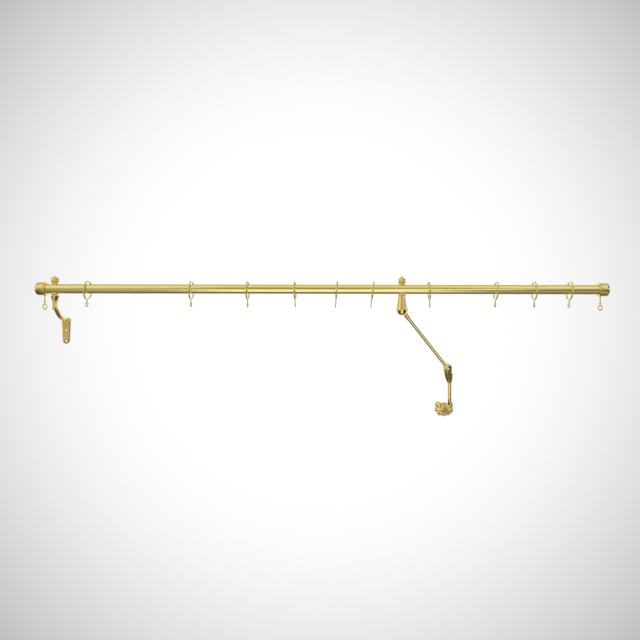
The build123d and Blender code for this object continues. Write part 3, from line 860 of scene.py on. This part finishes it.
@dataclass
class Finial:
    """A fluted knob on a turned seat, above one of the rod's studs."""

    finishes: Finishes
    stem: str
    station: float
    pointed: bool
    body: str = "rod_body"
    across: float = 15.6
    flutes: int = 12
    flute_depth: float = 0.75
    seat_across: float = 10.8
    seat_waist: float = 9.0
    seat_bottom: float = 8.2
    seat_rim: float = 0.35
    button: float = 4.6
    button_root: float = 5.6
    button_rise: float = 7.2
    edge: float = 0.3

    def make(self) -> None:
        """Build the seat and the knob."""
        self.seat()
        self.knob()

    def seat(self) -> None:
        """The turned seat, waisted between two small beads."""
        top = node_box(f"{self.stem}_collar")[1].z - ROD_AXIS.z
        outer = self.seat_across / 2
        outline = [
            (0.0, self.seat_bottom),
            (outer, self.seat_bottom),
            (outer, top - 1.2),
            (self.seat_waist / 2, top - 0.75),
            (outer, top - self.seat_rim),
            (outer, top),
            (0.0, top),
        ]
        place = Matrix.Translation(on_rod(self.station))
        piece = lathe(rounded(outline, self.edge), 64).placed(place).piece(f"{self.stem}_seat")
        self.finishes.dress(piece, Slot.TURNED, self.body, f"{self.stem}_collar")

    def knob(self) -> None:
        """The ball with its flutes, which die out towards the two poles."""
        low, high = node_box(self.stem)
        radius = self.across / 2
        tree = self.fluted_ball_tree(f"{self.stem}_flutes")
        sizes = {"Radius": radius, "Flutes": self.flutes, "Flute depth": self.flute_depth}
        seat_to_centre = sqrt(radius**2 - (self.seat_across / 2 + self.seat_rim) ** 2)
        centre = Vector((self.station, ROD_AXIS.y, low.z + seat_to_centre))
        piece = grown(f"{self.stem}_knob", tree, sizes, Matrix.Translation(centre * MM))
        tip = high.z - centre.z
        outline = self.button_outline(tip)
        place = Matrix.Translation(centre)
        crown = lathe(rounded(outline, self.edge), 48).placed(place).piece(f"{self.stem}_crown")
        merged = joined(piece, crown)
        self.finishes.dress(merged, Slot.TURNED, self.body, self.stem)

    def button_outline(self, tip: float) -> Profile:
        """The outline of the button on the ball, or of the bud's point, up to its tip."""
        neck = self.button / 2
        root = self.button_root
        rise = self.button_rise
        if self.pointed:
            collar = neck + 0.5
            upper = [(neck - 0.4, rise + 0.5), (neck - 0.1, rise + 1.1), (1.1, tip - 0.7), (0.55, tip - 0.15)]
        else:
            collar = neck + 0.4
            upper = [(neck - 0.3, rise + 0.3), (neck - 0.1, tip - 0.5), (neck - 0.7, tip - 0.12)]
        return [(0.0, root), (collar, root), (collar, rise), *upper, (0.0, tip)]

    def fluted_ball_tree(self, name: str) -> bpy.types.NodeTree:
        """A ball whose surface is drawn in along each flute."""
        tree = GeometryTree(name)
        radius = tree.size("Radius")
        count = tree.size("Flutes")
        depth = tree.size("Flute depth")
        sizes = {"Segments": 240, "Rings": 80, "Radius": radius}
        sphere = tree.node("GeometryNodeMeshUVSphere", None, sizes)[0]
        place = tree.node("GeometryNodeInputPosition")[0]
        x, y, z = tree.node("ShaderNodeSeparateXYZ", None, {0: place})
        turn = y.math("ARCTAN2", x)
        lobe = (turn * count * 0.5).sine().absolute()
        latitude = (z / radius).absolute()
        fade = 1.0 - latitude.smooth(0.55, 0.97)
        draw_in = (1.0 - lobe ** 0.55) * depth * fade
        share = 1.0 - draw_in / radius
        moved = tree.node("ShaderNodeVectorMath", {"operation": "SCALE"}, {0: place, "Scale": share})[0]
        shaped = tree.node("GeometryNodeSetPosition", None, {"Geometry": sphere, "Position": moved})[0]
        return tree.finish([shaped], self.finishes.made[Slot.TURNED])


def joined(*parts: bpy.types.Object) -> bpy.types.Object:
    """Join several meshes into the first."""
    work = bmesh.new()
    for part in parts:
        work.from_mesh(part.data)
    work.to_mesh(parts[0].data)
    work.free()
    for part in parts[1:]:
        bpy.data.objects.remove(part)
    return parts[0]


@dataclass
class SwingJoint:
    """Wall bracket, knuckle, fork and their pins at the rod's hinged end."""

    finishes: Finishes
    grain: float = 0.3
    fine_grain: float = 0.2
    pin_edge: float = 0.4

    def make(self) -> None:
        """Build the bracket and everything that turns in it."""
        self.finishes.cast("wall_bracket", "bracket_casting", "bracket_body", self.grain, 6)
        self.finishes.cast("knuckle", "knuckle_turning", "knuckle_body", self.fine_grain, 4)
        self.finishes.cast("rod_fork", "fork_bell", "rod_body", self.fine_grain, 4)
        self.finishes.pin("tilt_pin", "tilt_pin_turning", "rod_body", self.pin_edge)
        self.finishes.keep("swing_screw")
        self.finishes.keep("fork_stud")


def cross_pin(node: str, name: str, edge: float) -> bpy.types.Object:
    """A plain pin along Y, with rounded ends, in a node's place."""
    low, high = node_box(node)
    radius = (high.x - low.x) / 2
    length = high.y - low.y
    outline = [(0.0, 0.0), (radius, 0.0), (radius, length), (0.0, length)]
    centre = (low + high) / 2
    place = Matrix.Translation((centre.x, low.y, centre.z)) @ facing(BACK)
    return lathe(rounded(outline, edge), 48).placed(place).piece(name)


@dataclass
class LinkStation:
    """Saddle, stud, yoke and pin from which the arm hangs."""

    finishes: Finishes
    grain: float = 0.3
    saddle_top: float = 7.6
    saddle_groove: float = 0.4
    saddle_edge: float = 0.2
    pin_edge: float = 0.5

    def make(self) -> None:
        """Build the saddle, the yoke and its pin."""
        low, high = node_box("link_saddle")
        radius = (high.x - low.x) / 2
        drop = low.z - ROD_AXIS.z
        waist = radius - self.saddle_groove
        outline = [
            (0.0, -self.saddle_top), (radius, -self.saddle_top), (radius, drop + 0.9), (waist, drop + 0.7),
            (waist, drop + 0.5), (radius, drop + 0.3), (radius, drop), (0.0, drop),
        ]
        place = Matrix.Translation(on_rod((low.x + high.x) / 2))
        saddle = lathe(rounded(outline, self.saddle_edge), 72).placed(place).piece("saddle_turning")
        self.finishes.dress(saddle, Slot.TURNED, "rod_body", "link_saddle")
        self.finishes.cast("link_yoke", "yoke_casting", "yoke_body", self.grain, 5)
        self.finishes.pin("yoke_pin", "yoke_pin_turning", "yoke_body", self.pin_edge)
        self.finishes.keep("link_stud")


@dataclass
class LinkArm:
    """The arm between the yoke and the elbow."""

    finishes: Finishes
    grain: float = 0.2
    bar_across: float = 6.5
    bar_edge: float = 0.3
    bar_rows: int = 12
    ferrule_across: float = 9.2
    ferrule_thick: float = 2.0
    ferrule_setback: float = 10.7
    ferrule_step: float = 0.3
    ferrule_bead: float = 0.7
    bead_rows: int = 10

    def make(self) -> None:
        """Build the tongues, the bar and the ferrule."""
        top = joint_place("arm_pivot")
        elbow = joint_place("elbow_pivot")
        along = (elbow - top).normalized()
        for end in ("upper", "lower"):
            self.finishes.cast(f"arm_{end}_tongue", f"{end}_tongue_casting", "arm_body", self.grain, 4)
        self.bar(top, along)
        self.ferrule(elbow, along)

    def bar(self, top: Vector, along: Vector) -> None:
        """The round bar, from inside the socket to the ferrule."""
        low, high = node_box("arm_bar")
        radius = self.bar_across / 2
        edge = radius * abs(along.z)
        start = (low.x + edge - top.x) / along.x
        end = (high.x - edge - top.x) / along.x
        length = end - start
        rows = [(radius, length * i / self.bar_rows) for i in range(self.bar_rows + 1)]
        outline = rounded([(0.0, 0.0), *rows, (0.0, length)], self.bar_edge)
        place = Matrix.Translation(top + along * start) @ facing(along)
        piece = lathe(outline, 64).placed(place).piece("arm_rod")
        self.finishes.dress(piece, Slot.ROD, "arm_body", "arm_bar")

    def ferrule(self, elbow: Vector, along: Vector) -> None:
        """The turned ring, with a round bead between two small steps."""
        thick = self.ferrule_thick
        swell = self.ferrule_bead
        core = self.ferrule_across / 2 - swell
        bead = [
            (core + swell * sin(pi * share), self.ferrule_step + (thick - 2 * self.ferrule_step) * share)
            for share in (i / self.bead_rows for i in range(self.bead_rows + 1))
        ]
        outline = [(0.0, 0.0), (core, 0.0), *bead, (core, thick), (0.0, thick)]
        start = elbow - along * (self.ferrule_setback + thick)
        piece = lathe(outline, 64).placed(Matrix.Translation(start) @ facing(along)).piece("ferrule_turning")
        self.finishes.dress(piece, Slot.TURNED, "arm_body", "arm_ferrule")


@dataclass
class DoorPost:
    """The pear-shaped elbow fork with its neck, and its pin."""

    finishes: Finishes
    grain: float = 0.25
    pin_edge: float = 0.3

    def make(self) -> None:
        """Build the post and the elbow's pin."""
        self.finishes.cast("door_post", "post_casting", "post_body", self.grain, 4)
        self.finishes.pin("elbow_pin", "elbow_pin_turning", "post_body", self.pin_edge)


def bell(distance: float, width: float) -> float:
    """A smooth bump, 1 in its middle."""
    return exp(-((distance / width) ** 2))


@dataclass
class DoorRose:
    """The cast rose on the door, with the stalk that the post turns in."""

    finishes: Finishes
    body: str = "rose_body"
    width: float = 38.0
    height: float = 27.0
    base: float = 2.6
    boss_across: float = 12.0
    boss_deep: float = 11.0
    outer_width: float = 14.0
    outer_length: float = 20.0
    outer_lift: float = 6.0
    inner_width: float = 8.6
    inner_length: float = 14.0
    inner_lift: float = 7.6
    inner_reach: float = 10.4
    inner_count: int = 5
    hole: float = 2.8
    hole_spacing: float = 26.0
    head: float = 5.2
    head_seat: float = 5.4
    stalk: float = 7.2
    stalk_straight: float = 17.0
    stalk_turn: float = 12.0
    stalk_root: float = 2.0
    socket: float = 3.7
    socket_depth: float = 10.1
    screw: float = 2.0
    screw_drop: float = 4.5
    grain: float = 0.3
    crease: float = 0.08
    rim: float = 0.10
    dish: float = 0.13
    vein: float = 0.007
    vein_waves: float = 26.0
    notch: float = 0.10
    bud_groove: float = 0.11
    bud_dip: float = 0.05
    bud_leaves: int = 3
    bud_twist: float = 9.0
    overrun: float = 2.0
    outer: tuple[tuple[float, float], ...] = (
        (0.0, 20.4), (36.0, 23.0), (90.0, 15.0), (144.0, 22.6),
        (180.0, 20.0), (222.0, 17.8), (270.0, 15.6), (318.0, 17.0),
    )

    def make(self) -> None:
        """Build the rose and its stalk as one casting, and cut its holes."""
        centre = mount_place("door_rose_screws")
        rose = self.plate()
        for direction, reach in self.outer:
            rose += self.petal(direction, reach, self.outer_width, self.outer_length, self.outer_lift)
        inner = (self.inner_reach, self.inner_width, self.inner_length, self.inner_lift)
        for i in range(self.inner_count):
            rose += self.petal(90 + 360 * (i + 0.5) / self.inner_count, *inner)
        rose += self.bud()
        piece = (rose.placed(Matrix.Translation(centre)) + self.stalk_bar(centre)).piece("rose_casting")
        softened(piece, self.grain, 7)
        self.drill(piece, centre)
        self.finishes.dress(piece, Slot.CAST, self.body, "door_rose")
        self.finishes.keep("post_screw")

    def plate(self) -> Shell:
        """The oval plate behind the petals."""
        outline = rounded([(0.0, 0.0), (1.0, 0.0), (1.0, self.base), (0.0, self.base)], 0.04)
        return lathe(outline, 96).placed(
            facing(-BACK) @ Matrix.Diagonal((self.width / 2, self.height / 2, 1.0, 1.0))
        )

    def petal(self, direction: float, reach: float, width: float, length: float, lift: float) -> Shell:
        """One petal: a swelling leaf with a creased middle, fine veins and a rolled rim.

        Args:
            direction: degrees from +X.
            reach: the tip's distance from the rose's centre.
            width: across the petal.
            length: along the petal.
            lift: how far it stands out of the wall.

        Returns:
            The petal's shell, with its back flat on the wall.
        """

        def carved(point: Vector) -> Vector:
            """Work the ball's front into a petal."""
            out, side, tip = point
            if out > 0:
                edge = sqrt(side**2 + tip**2)
                crease = self.crease * bell(side, 0.13) * (0.35 + 0.65 * (tip + 1) / 2)
                rolled = self.rim * bell(edge - 0.78, 0.1) - self.dish * bell(edge - 0.56, 0.13)
                veins = self.vein * cos(self.vein_waves * (abs(side) - 0.25 * tip)) * max(0.0, 1 - edge**2)
                out += (rolled + veins - crease) * min(1.0, 3 * out)
            notch = self.notch * bell(side, 0.16) * max(0.0, tip) ** 4
            return Vector((out, side, tip - notch))

        shell = ball(2.0, 2.0, 2.0, 72).bent(carved)
        shell = shell.placed(Matrix.Diagonal((width / 2, width / 2, length / 2, 1.0)))
        angle = radians(direction)
        tip_way = Vector((cos(angle), 0.0, sin(angle)))
        out_way = -BACK
        side_way = tip_way.cross(out_way)
        turn = Matrix((out_way, side_way, tip_way)).transposed().to_4x4()
        centre = tip_way * (reach - length / 2) + BACK * (width / 2 - lift)
        shell = shell.placed(Matrix.Translation(centre) @ turn)
        return shell.flat_backed()

    def bud(self) -> Shell:
        """The boss in the rose's middle, wrapped in small spiral leaves."""

        def wrapped(point: Vector) -> Vector:
            """Draw the ball's skin in along its spirals."""
            angle = atan2(point.y, point.x)
            edge = sqrt(point.x**2 + point.y**2)
            groove = (0.5 + 0.5 * cos(self.bud_leaves * angle + self.bud_twist * edge)) ** 4
            share = 1 - self.bud_groove * groove
            return Vector((point.x * share, point.y * share, point.z * (1 - self.bud_dip * groove)))

        shell = ball(2.0, 2.0, 2.0, 72).bent(wrapped)
        radius = self.boss_across / 2
        shell = shell.placed(Matrix.Diagonal((radius, radius, self.boss_deep, 1.0)))
        shell = shell.placed(Matrix.Translation(BACK * -self.base) @ facing(-BACK))
        return shell.flat_backed()

    def stalk_bar(self, centre: Vector) -> Shell:
        """The round stalk, from the post's shoulder down and back into the rose."""
        top = joint_place("post_swivel") - UP * 0.1
        corner = top - UP * (self.stalk_straight - 0.1)
        root = centre - BACK * self.stalk_root
        back = (root - corner).normalized()
        turn = pi - UP.angle(back)
        reach = self.stalk_turn * abs(sin(turn / 2) / cos(turn / 2))
        start = corner + UP * reach
        inward = (back - UP * back.dot(UP)).normalized()
        hub = start + inward * self.stalk_turn
        path = [top, top - UP, start + UP * 0.6]
        steps = 16
        for i in range(steps + 1):
            angle = turn * i / steps
            path.append(hub - inward * self.stalk_turn * cos(angle) - UP * self.stalk_turn * sin(angle))
        end = path[-1]
        path += [end + (root - end) * share for share in (0.1, 0.35, 0.6, 0.8, 0.9, 1.0)]
        radii = [self.stalk / 2 - 0.3] + [self.stalk / 2] * (len(path) - 4)
        radii += [self.stalk / 2 + flare for flare in (0.3, 0.9, 1.6)]
        return tube_along(path, radii, 48)

    def drill(self, piece: bpy.types.Object, centre: Vector) -> None:
        """Cut the screw holes, the post's socket and the grub screw's hole."""
        post = joint_place("post_swivel")
        cutters = [
            (post + UP * self.overrun, -UP, self.socket / 2, self.socket_depth + self.overrun),
            (post - UP * self.screw_drop, -ALONG, self.screw / 2, self.stalk),
        ]
        for side in (-1, 1):
            spot = centre + ALONG * side * self.hole_spacing / 2
            for start, across in ((spot + BACK, self.hole), (spot - BACK * self.head_seat, self.head)):
                cutters.append((start, -BACK, across / 2, 4 * self.base))
        tools = Shell()
        for start, way, radius, depth in cutters:
            rod = lathe([(0.0, 0.0), (radius, 0.0), (radius, depth), (0.0, depth)], 40)
            tools += rod.placed(Matrix.Translation(start) @ facing(way))
        tool = tools.piece("rose_drills")
        cut = piece.modifiers.new("drill", "BOOLEAN")
        cut.operation = "DIFFERENCE"
        cut.solver = "EXACT"
        cut.use_self = True
        cut.object = tool
        settled(piece)
        bpy.data.objects.remove(tool)


@dataclass
class CurtainRings:
    """Ten wire rings, each with a riveted eye for a curtain hook."""

    finishes: Finishes
    count: int = 10
    outside: float = 38.8
    wire: float = 3.0
    eye_wire: float = 2.0
    eye_outside: float = 11.0
    eye_drop: float = 28.6
    stem: float = 2.4
    foot: float = 3.6
    foot_height: float = 1.6
    rivet: float = 1.4
    rivet_grip: float = 1.8
    rivet_gap: float = 0.3
    rivet_lap: float = 0.2

    def make(self) -> None:
        """Grow every ring and its eye from two trees."""
        ring_tree = self.ring_tree()
        eye_tree = wire_eye_tree("ring_screw_eye", self.finishes.made[Slot.RING])
        for number in range(1, self.count + 1):
            tag = f"{number:02d}"
            centre = node_centre(f"ring_{tag}")
            loop = mount_place(f"ring_eye_{tag}_loop")
            lean = atan2(centre.x - loop.x, centre.z - loop.z)
            place = Matrix.Translation(centre * MM) @ Matrix.Rotation(lean, 4, "Y")
            self.ring(ring_tree, tag, place)
            self.eye(eye_tree, tag, place)

    def ring_tree(self) -> bpy.types.NodeTree:
        """The tree of one wire ring in the YZ plane."""
        tree = GeometryTree("curtain_ring")
        middle = tree.size("Ring middle")
        wire = tree.size("Ring wire")
        hoop = tree.moved(tree.hoop(middle, wire, 128, 28), tree.vector(), (0.0, pi / 2, 0.0))
        return tree.finish([hoop], self.finishes.made[Slot.RING])

    def ring(self, tree: bpy.types.NodeTree, tag: str, place: Matrix) -> None:
        """One ring in its place."""
        sizes = {"Ring middle": (self.outside - self.wire) / 2, "Ring wire": self.wire / 2}
        piece = grown(f"wire_ring_{tag}", tree, sizes, place)
        self.finishes.dress(piece, Slot.RING, f"ring_body_{tag}", f"ring_{tag}")

    def eye(self, tree: bpy.types.NodeTree, tag: str, place: Matrix) -> None:
        """One eye, with its foot just under the ring's wire."""
        seat = self.outside / 2 + self.rivet_gap
        top = self.outside / 2 - self.rivet_grip
        sizes = {
            "Loop middle": (self.eye_outside - self.eye_wire) / 2,
            "Loop wire": self.eye_wire / 2,
            "Loop drop": self.eye_drop - seat,
            "Stem": self.stem / 2,
            "Bead": self.stem / 2,
            "Bead drop": 1.0,
            "Foot": self.foot / 2,
            "Foot top": 0.0,
            "Foot height": self.foot_height,
        }
        shifted = place @ Matrix.Translation((0, 0, -seat * MM))
        eye = grown(f"wire_eye_{tag}", tree, sizes, shifted)
        radius = self.rivet / 2
        end = -seat - self.rivet_lap
        outline = [(0.0, -top), (radius, -top), (radius, end), (0.0, end)]
        rivet = lathe(outline, 20).piece(f"wire_rivet_{tag}")
        rivet.data.transform(place)
        piece = joined(eye, rivet)
        self.finishes.dress(piece, Slot.RING, f"ring_body_{tag}", f"ring_eye_{tag}")


# The studio


class Light(Enum):
    """How a lamp of the studio is used."""

    ABOVE = "overhead_softbox"
    LEFT = "left_softbox"
    RIGHT = "right_softbox"


@dataclass(frozen=True)
class Softbox:
    """A rectangular lamp, in metres, and how bright its face is."""

    use: Light
    place: Triple
    aim: Triple
    size: tuple[float, float]
    level: float

    def hang(self) -> None:
        """Make the lamp and turn it to its aim."""
        lamp = bpy.data.lights.new(self.use.value, "AREA")
        lamp.shape = "RECTANGLE"
        lamp.size, lamp.size_y = self.size
        lamp.energy = self.level * pi * self.size[0] * self.size[1]
        holder = linked(self.use.value, lamp)
        holder.location = self.place
        way = Vector(self.aim) - Vector(self.place)
        holder.rotation_euler = way.to_track_quat("-Z", "Y").to_euler()


@dataclass(frozen=True)
class Patch:
    """A soft-edged part of the room, as the brass sees it.

    Attributes:
        side: the X part of its direction, from -1 to 1.
        width: half its width, in the same measure.
        rise: degrees up from the viewer's side, round the rod's line.
        height: half its height, in degrees.
        level: how bright it is.
        edge: where it starts and ends to fade, in shares of the half width and height.
    """

    side: float
    width: float
    rise: float
    height: float
    level: float
    edge: tuple[float, float] = (0.7, 1.3)

    def share(self, side: Wire, rise: Wire) -> Wire:
        """How much of a direction the patch covers, from 0 to 1."""
        across = ((side - self.side).absolute() / self.width).smooth(*self.edge)
        upward = ((rise - self.rise).absolute() / self.height).smooth(*self.edge)
        return (1.0 - across) * (1.0 - upward)


def room_tint(level: float) -> Colour:
    """A grey of the room, warmer where it is dim."""
    return (level, level * (0.96 + 0.04 * min(1.0, level)), level * (0.55 + 0.45 * min(1.0, level / 0.8)))


@dataclass
class Studio:
    """Camera, lamps, floor and backdrop."""

    camera_x: float = 0.5898
    camera_reach: float = 1.226
    camera_height: float = 0.0328
    camera_roll: float = -0.1
    backdrop_x: float = 0.396
    lens: float = 33.1
    sensor: float = 36.0
    shift_x: float = -30 / 640
    floor_height: float = -2.15
    floor_size: float = 14.0
    backdrop_back: float = 2.6
    backdrop_size: float = 9.0
    floor_tones: tuple[Colour, Colour] = ((0.60, 0.60, 0.60), (0.64, 0.64, 0.63))
    floor_glow: float = 0.5
    wall_tone: Colour = (0.8, 0.8, 0.8)
    middle: Colour = (1.0, 1.0, 1.0)
    # The backdrop's grey rim: painted shade of a vignette.
    rim: Colour = (0.30, 0.30, 0.30)
    vignette_start: float = 1.06
    vignette_end: float = 4.11
    softboxes: tuple[Softbox, ...] = (
        Softbox(Light.ABOVE, (0.5, -0.7, 2.0), (0.5, 0.0, 0.0), (3.4, 1.3), 0.2),
        Softbox(Light.LEFT, (-1.9, -0.4, 0.2), (0.3, 0.0, 0.0), (0.8, 1.6), 0.15),
        Softbox(Light.RIGHT, (3.0, -0.4, 0.2), (0.8, 0.0, 0.0), (0.8, 1.6), 0.15),
    )
    # Brightness of the room round the rod's line: degrees up from the viewer's side, and level
    room: tuple[tuple[float, float], ...] = (
        (-180.0, 1.0), (-142.0, 0.62), (-118.0, 0.2), (-95.0, 0.12), (-80.0, 0.22), (-64.0, 0.4),
        (-37.0, 0.5), (-24.0, 0.42), (-12.0, 0.36), (0.0, 0.42), (12.0, 0.52), (24.0, 0.78), (37.0, 0.98),
        (63.0, 0.72), (80.0, 0.6), (100.0, 0.62), (142.0, 0.8), (180.0, 1.0),
    )
    patches: tuple[Patch, ...] = (
        Patch(-0.03, 0.22, -36.0, 33.0, 1.15),
        Patch(0.0, 0.24, 25.0, 20.0, 0.42),
        Patch(0.40, 0.26, -18.0, 15.0, 0.12),
        Patch(-0.02, 0.42, -6.0, 4.0, 1.1),
        Patch(0.08, 0.36, 7.0, 8.0, 0.2),
        Patch(-0.88, 0.22, 4.0, 16.0, 0.95),
        Patch(0.92, 0.20, 12.0, 14.0, 0.95),
        Patch(0.90, 0.28, -46.0, 34.0, 0.0),
        Patch(0.72, 0.20, 72.0, 42.0, 0.06),
        Patch(-0.70, 0.22, -70.0, 42.0, 0.06),
        Patch(0.16, 0.12, -3.0, 12.0, 1.15),
    )

    def build(self) -> None:
        """Set up the view, the light and what stands round the rod."""
        scene = bpy.context.scene
        scene.view_settings.view_transform = "Standard"
        self.camera(scene)
        self.world(scene)
        for softbox in self.softboxes:
            softbox.hang()
        self.floor()
        self.backdrop()

    def camera(self, scene: bpy.types.Scene) -> None:
        """A camera square to the rod and all but level."""
        lens = bpy.data.cameras.new("view")
        lens.lens = self.lens
        lens.sensor_width = self.sensor
        lens.shift_x = self.shift_x
        holder = linked("view", lens)
        holder.location = (self.camera_x, -self.camera_reach, self.camera_height)
        holder.rotation_euler = (pi / 2, radians(self.camera_roll), 0.0)
        scene.camera = holder

    def world(self, scene: bpy.types.Scene) -> None:
        """A studio room: the ramp with its patches, as the brass sees it, and pale to the camera itself."""
        world = bpy.data.worlds.new("room")
        scene.world = world
        shader = Shader(world)
        way = shader.node("ShaderNodeTexCoord")[0]
        x, y, z = shader.node("ShaderNodeSeparateXYZ", None, {0: way})
        rise = z.math("ARCTAN2", y * -1.0) * (180 / pi)
        stops = [(angle / 360 + 0.5, room_tint(level)) for angle, level in self.room]
        colour = shader.node("ShaderNodeValToRGB", {"stops": stops}, {0: rise / 360 + 0.5})[0]
        for patch in self.patches:
            colour = shader.mix(patch.share(x, rise), colour, room_tint(patch.level))
        seen = shader.node("ShaderNodeLightPath")[0]
        room, pale = (shader.glow("ShaderNodeBackground", tint) for tint in (colour, self.middle))
        shader.shown(shader.either(seen, room, pale), "ShaderNodeOutputWorld")

    def floor(self) -> None:
        """A pale floor, far below as it is under a door's head; the brass shows the dim room in its place."""
        piece = self.sheet("floor", self.floor_size)
        piece.location = (self.camera_x, 0.0, self.floor_height)
        material = bpy.data.materials.new("pale_floor")
        shader = Shader(material)
        grain = shader.noise(shader.place(), 6.0, 3.0)
        colour = shader.mix(grain, *self.floor_tones)
        matt = shader.node("ShaderNodeBsdfDiffuse", None, {"Color": colour})[0]
        glow = shader.glow("ShaderNodeEmission", self.middle, self.floor_glow)
        lit = shader.node("ShaderNodeAddShader", None, {0: matt, 1: glow})[0]
        clear = shader.node("ShaderNodeBsdfTransparent")[0]
        path = shader.node("ShaderNodeLightPath")
        shader.shown(shader.either(path[3], shader.either(path[0], matt, lit), clear))
        piece.data.materials.append(material)

    def backdrop(self) -> None:
        """A pale wall behind, white in the middle and greyer towards its rim; the grey rim is painted shade."""
        piece = self.sheet("backdrop", self.backdrop_size)
        piece.rotation_euler = (pi / 2, 0.0, 0.0)
        piece.location = (self.backdrop_x, self.backdrop_back, self.camera_height)
        material = bpy.data.materials.new("pale_backdrop")
        shader = Shader(material)
        where = shader.node("ShaderNodeTexCoord")[3]
        reach = shader.node("ShaderNodeVectorMath", {"operation": "LENGTH"}, {0: where})[1]
        # Painted shade: the glow greys from the middle out towards the rim.
        colour = shader.mix(reach.smooth(self.vignette_start, self.vignette_end), self.middle, self.rim)
        glow = shader.glow("ShaderNodeEmission", colour)
        matt = shader.node("ShaderNodeBsdfDiffuse", None, {"Color": (*self.wall_tone, 1.0)})[0]
        path = shader.node("ShaderNodeLightPath")
        shader.shown(shader.either(path[0] + path[3] + path[6], matt, glow))
        piece.data.materials.append(material)

    @staticmethod
    def sheet(name: str, size: float) -> bpy.types.Object:
        """A square sheet about the origin."""
        half = size / 2
        mesh = bpy.data.meshes.new(name)
        corners = [(-half, -half, 0), (half, -half, 0), (half, half, 0), (-half, half, 0)]
        mesh.from_pydata(corners, [], [(0, 1, 2, 3)])
        return linked(name, mesh)


def main() -> None:
    """Build the studio and every sub-assembly in order."""
    logging.basicConfig(level=logging.INFO, format="%(name)s: %(message)s", stream=sys.stdout)
    Studio().build()
    finishes = Finishes()
    Rod(finishes).make()
    Finial(finishes, "fork_finial", joint_place("rod_swing").x, False).make()
    Finial(finishes, "link_finial", joint_place("yoke_swivel").x, True).make()
    SwingJoint(finishes).make()
    LinkStation(finishes).make()
    LinkArm(finishes).make()
    DoorPost(finishes).make()
    DoorRose(finishes).make()
    CurtainRings(finishes).make()


if __name__ == "__main__":
    main()
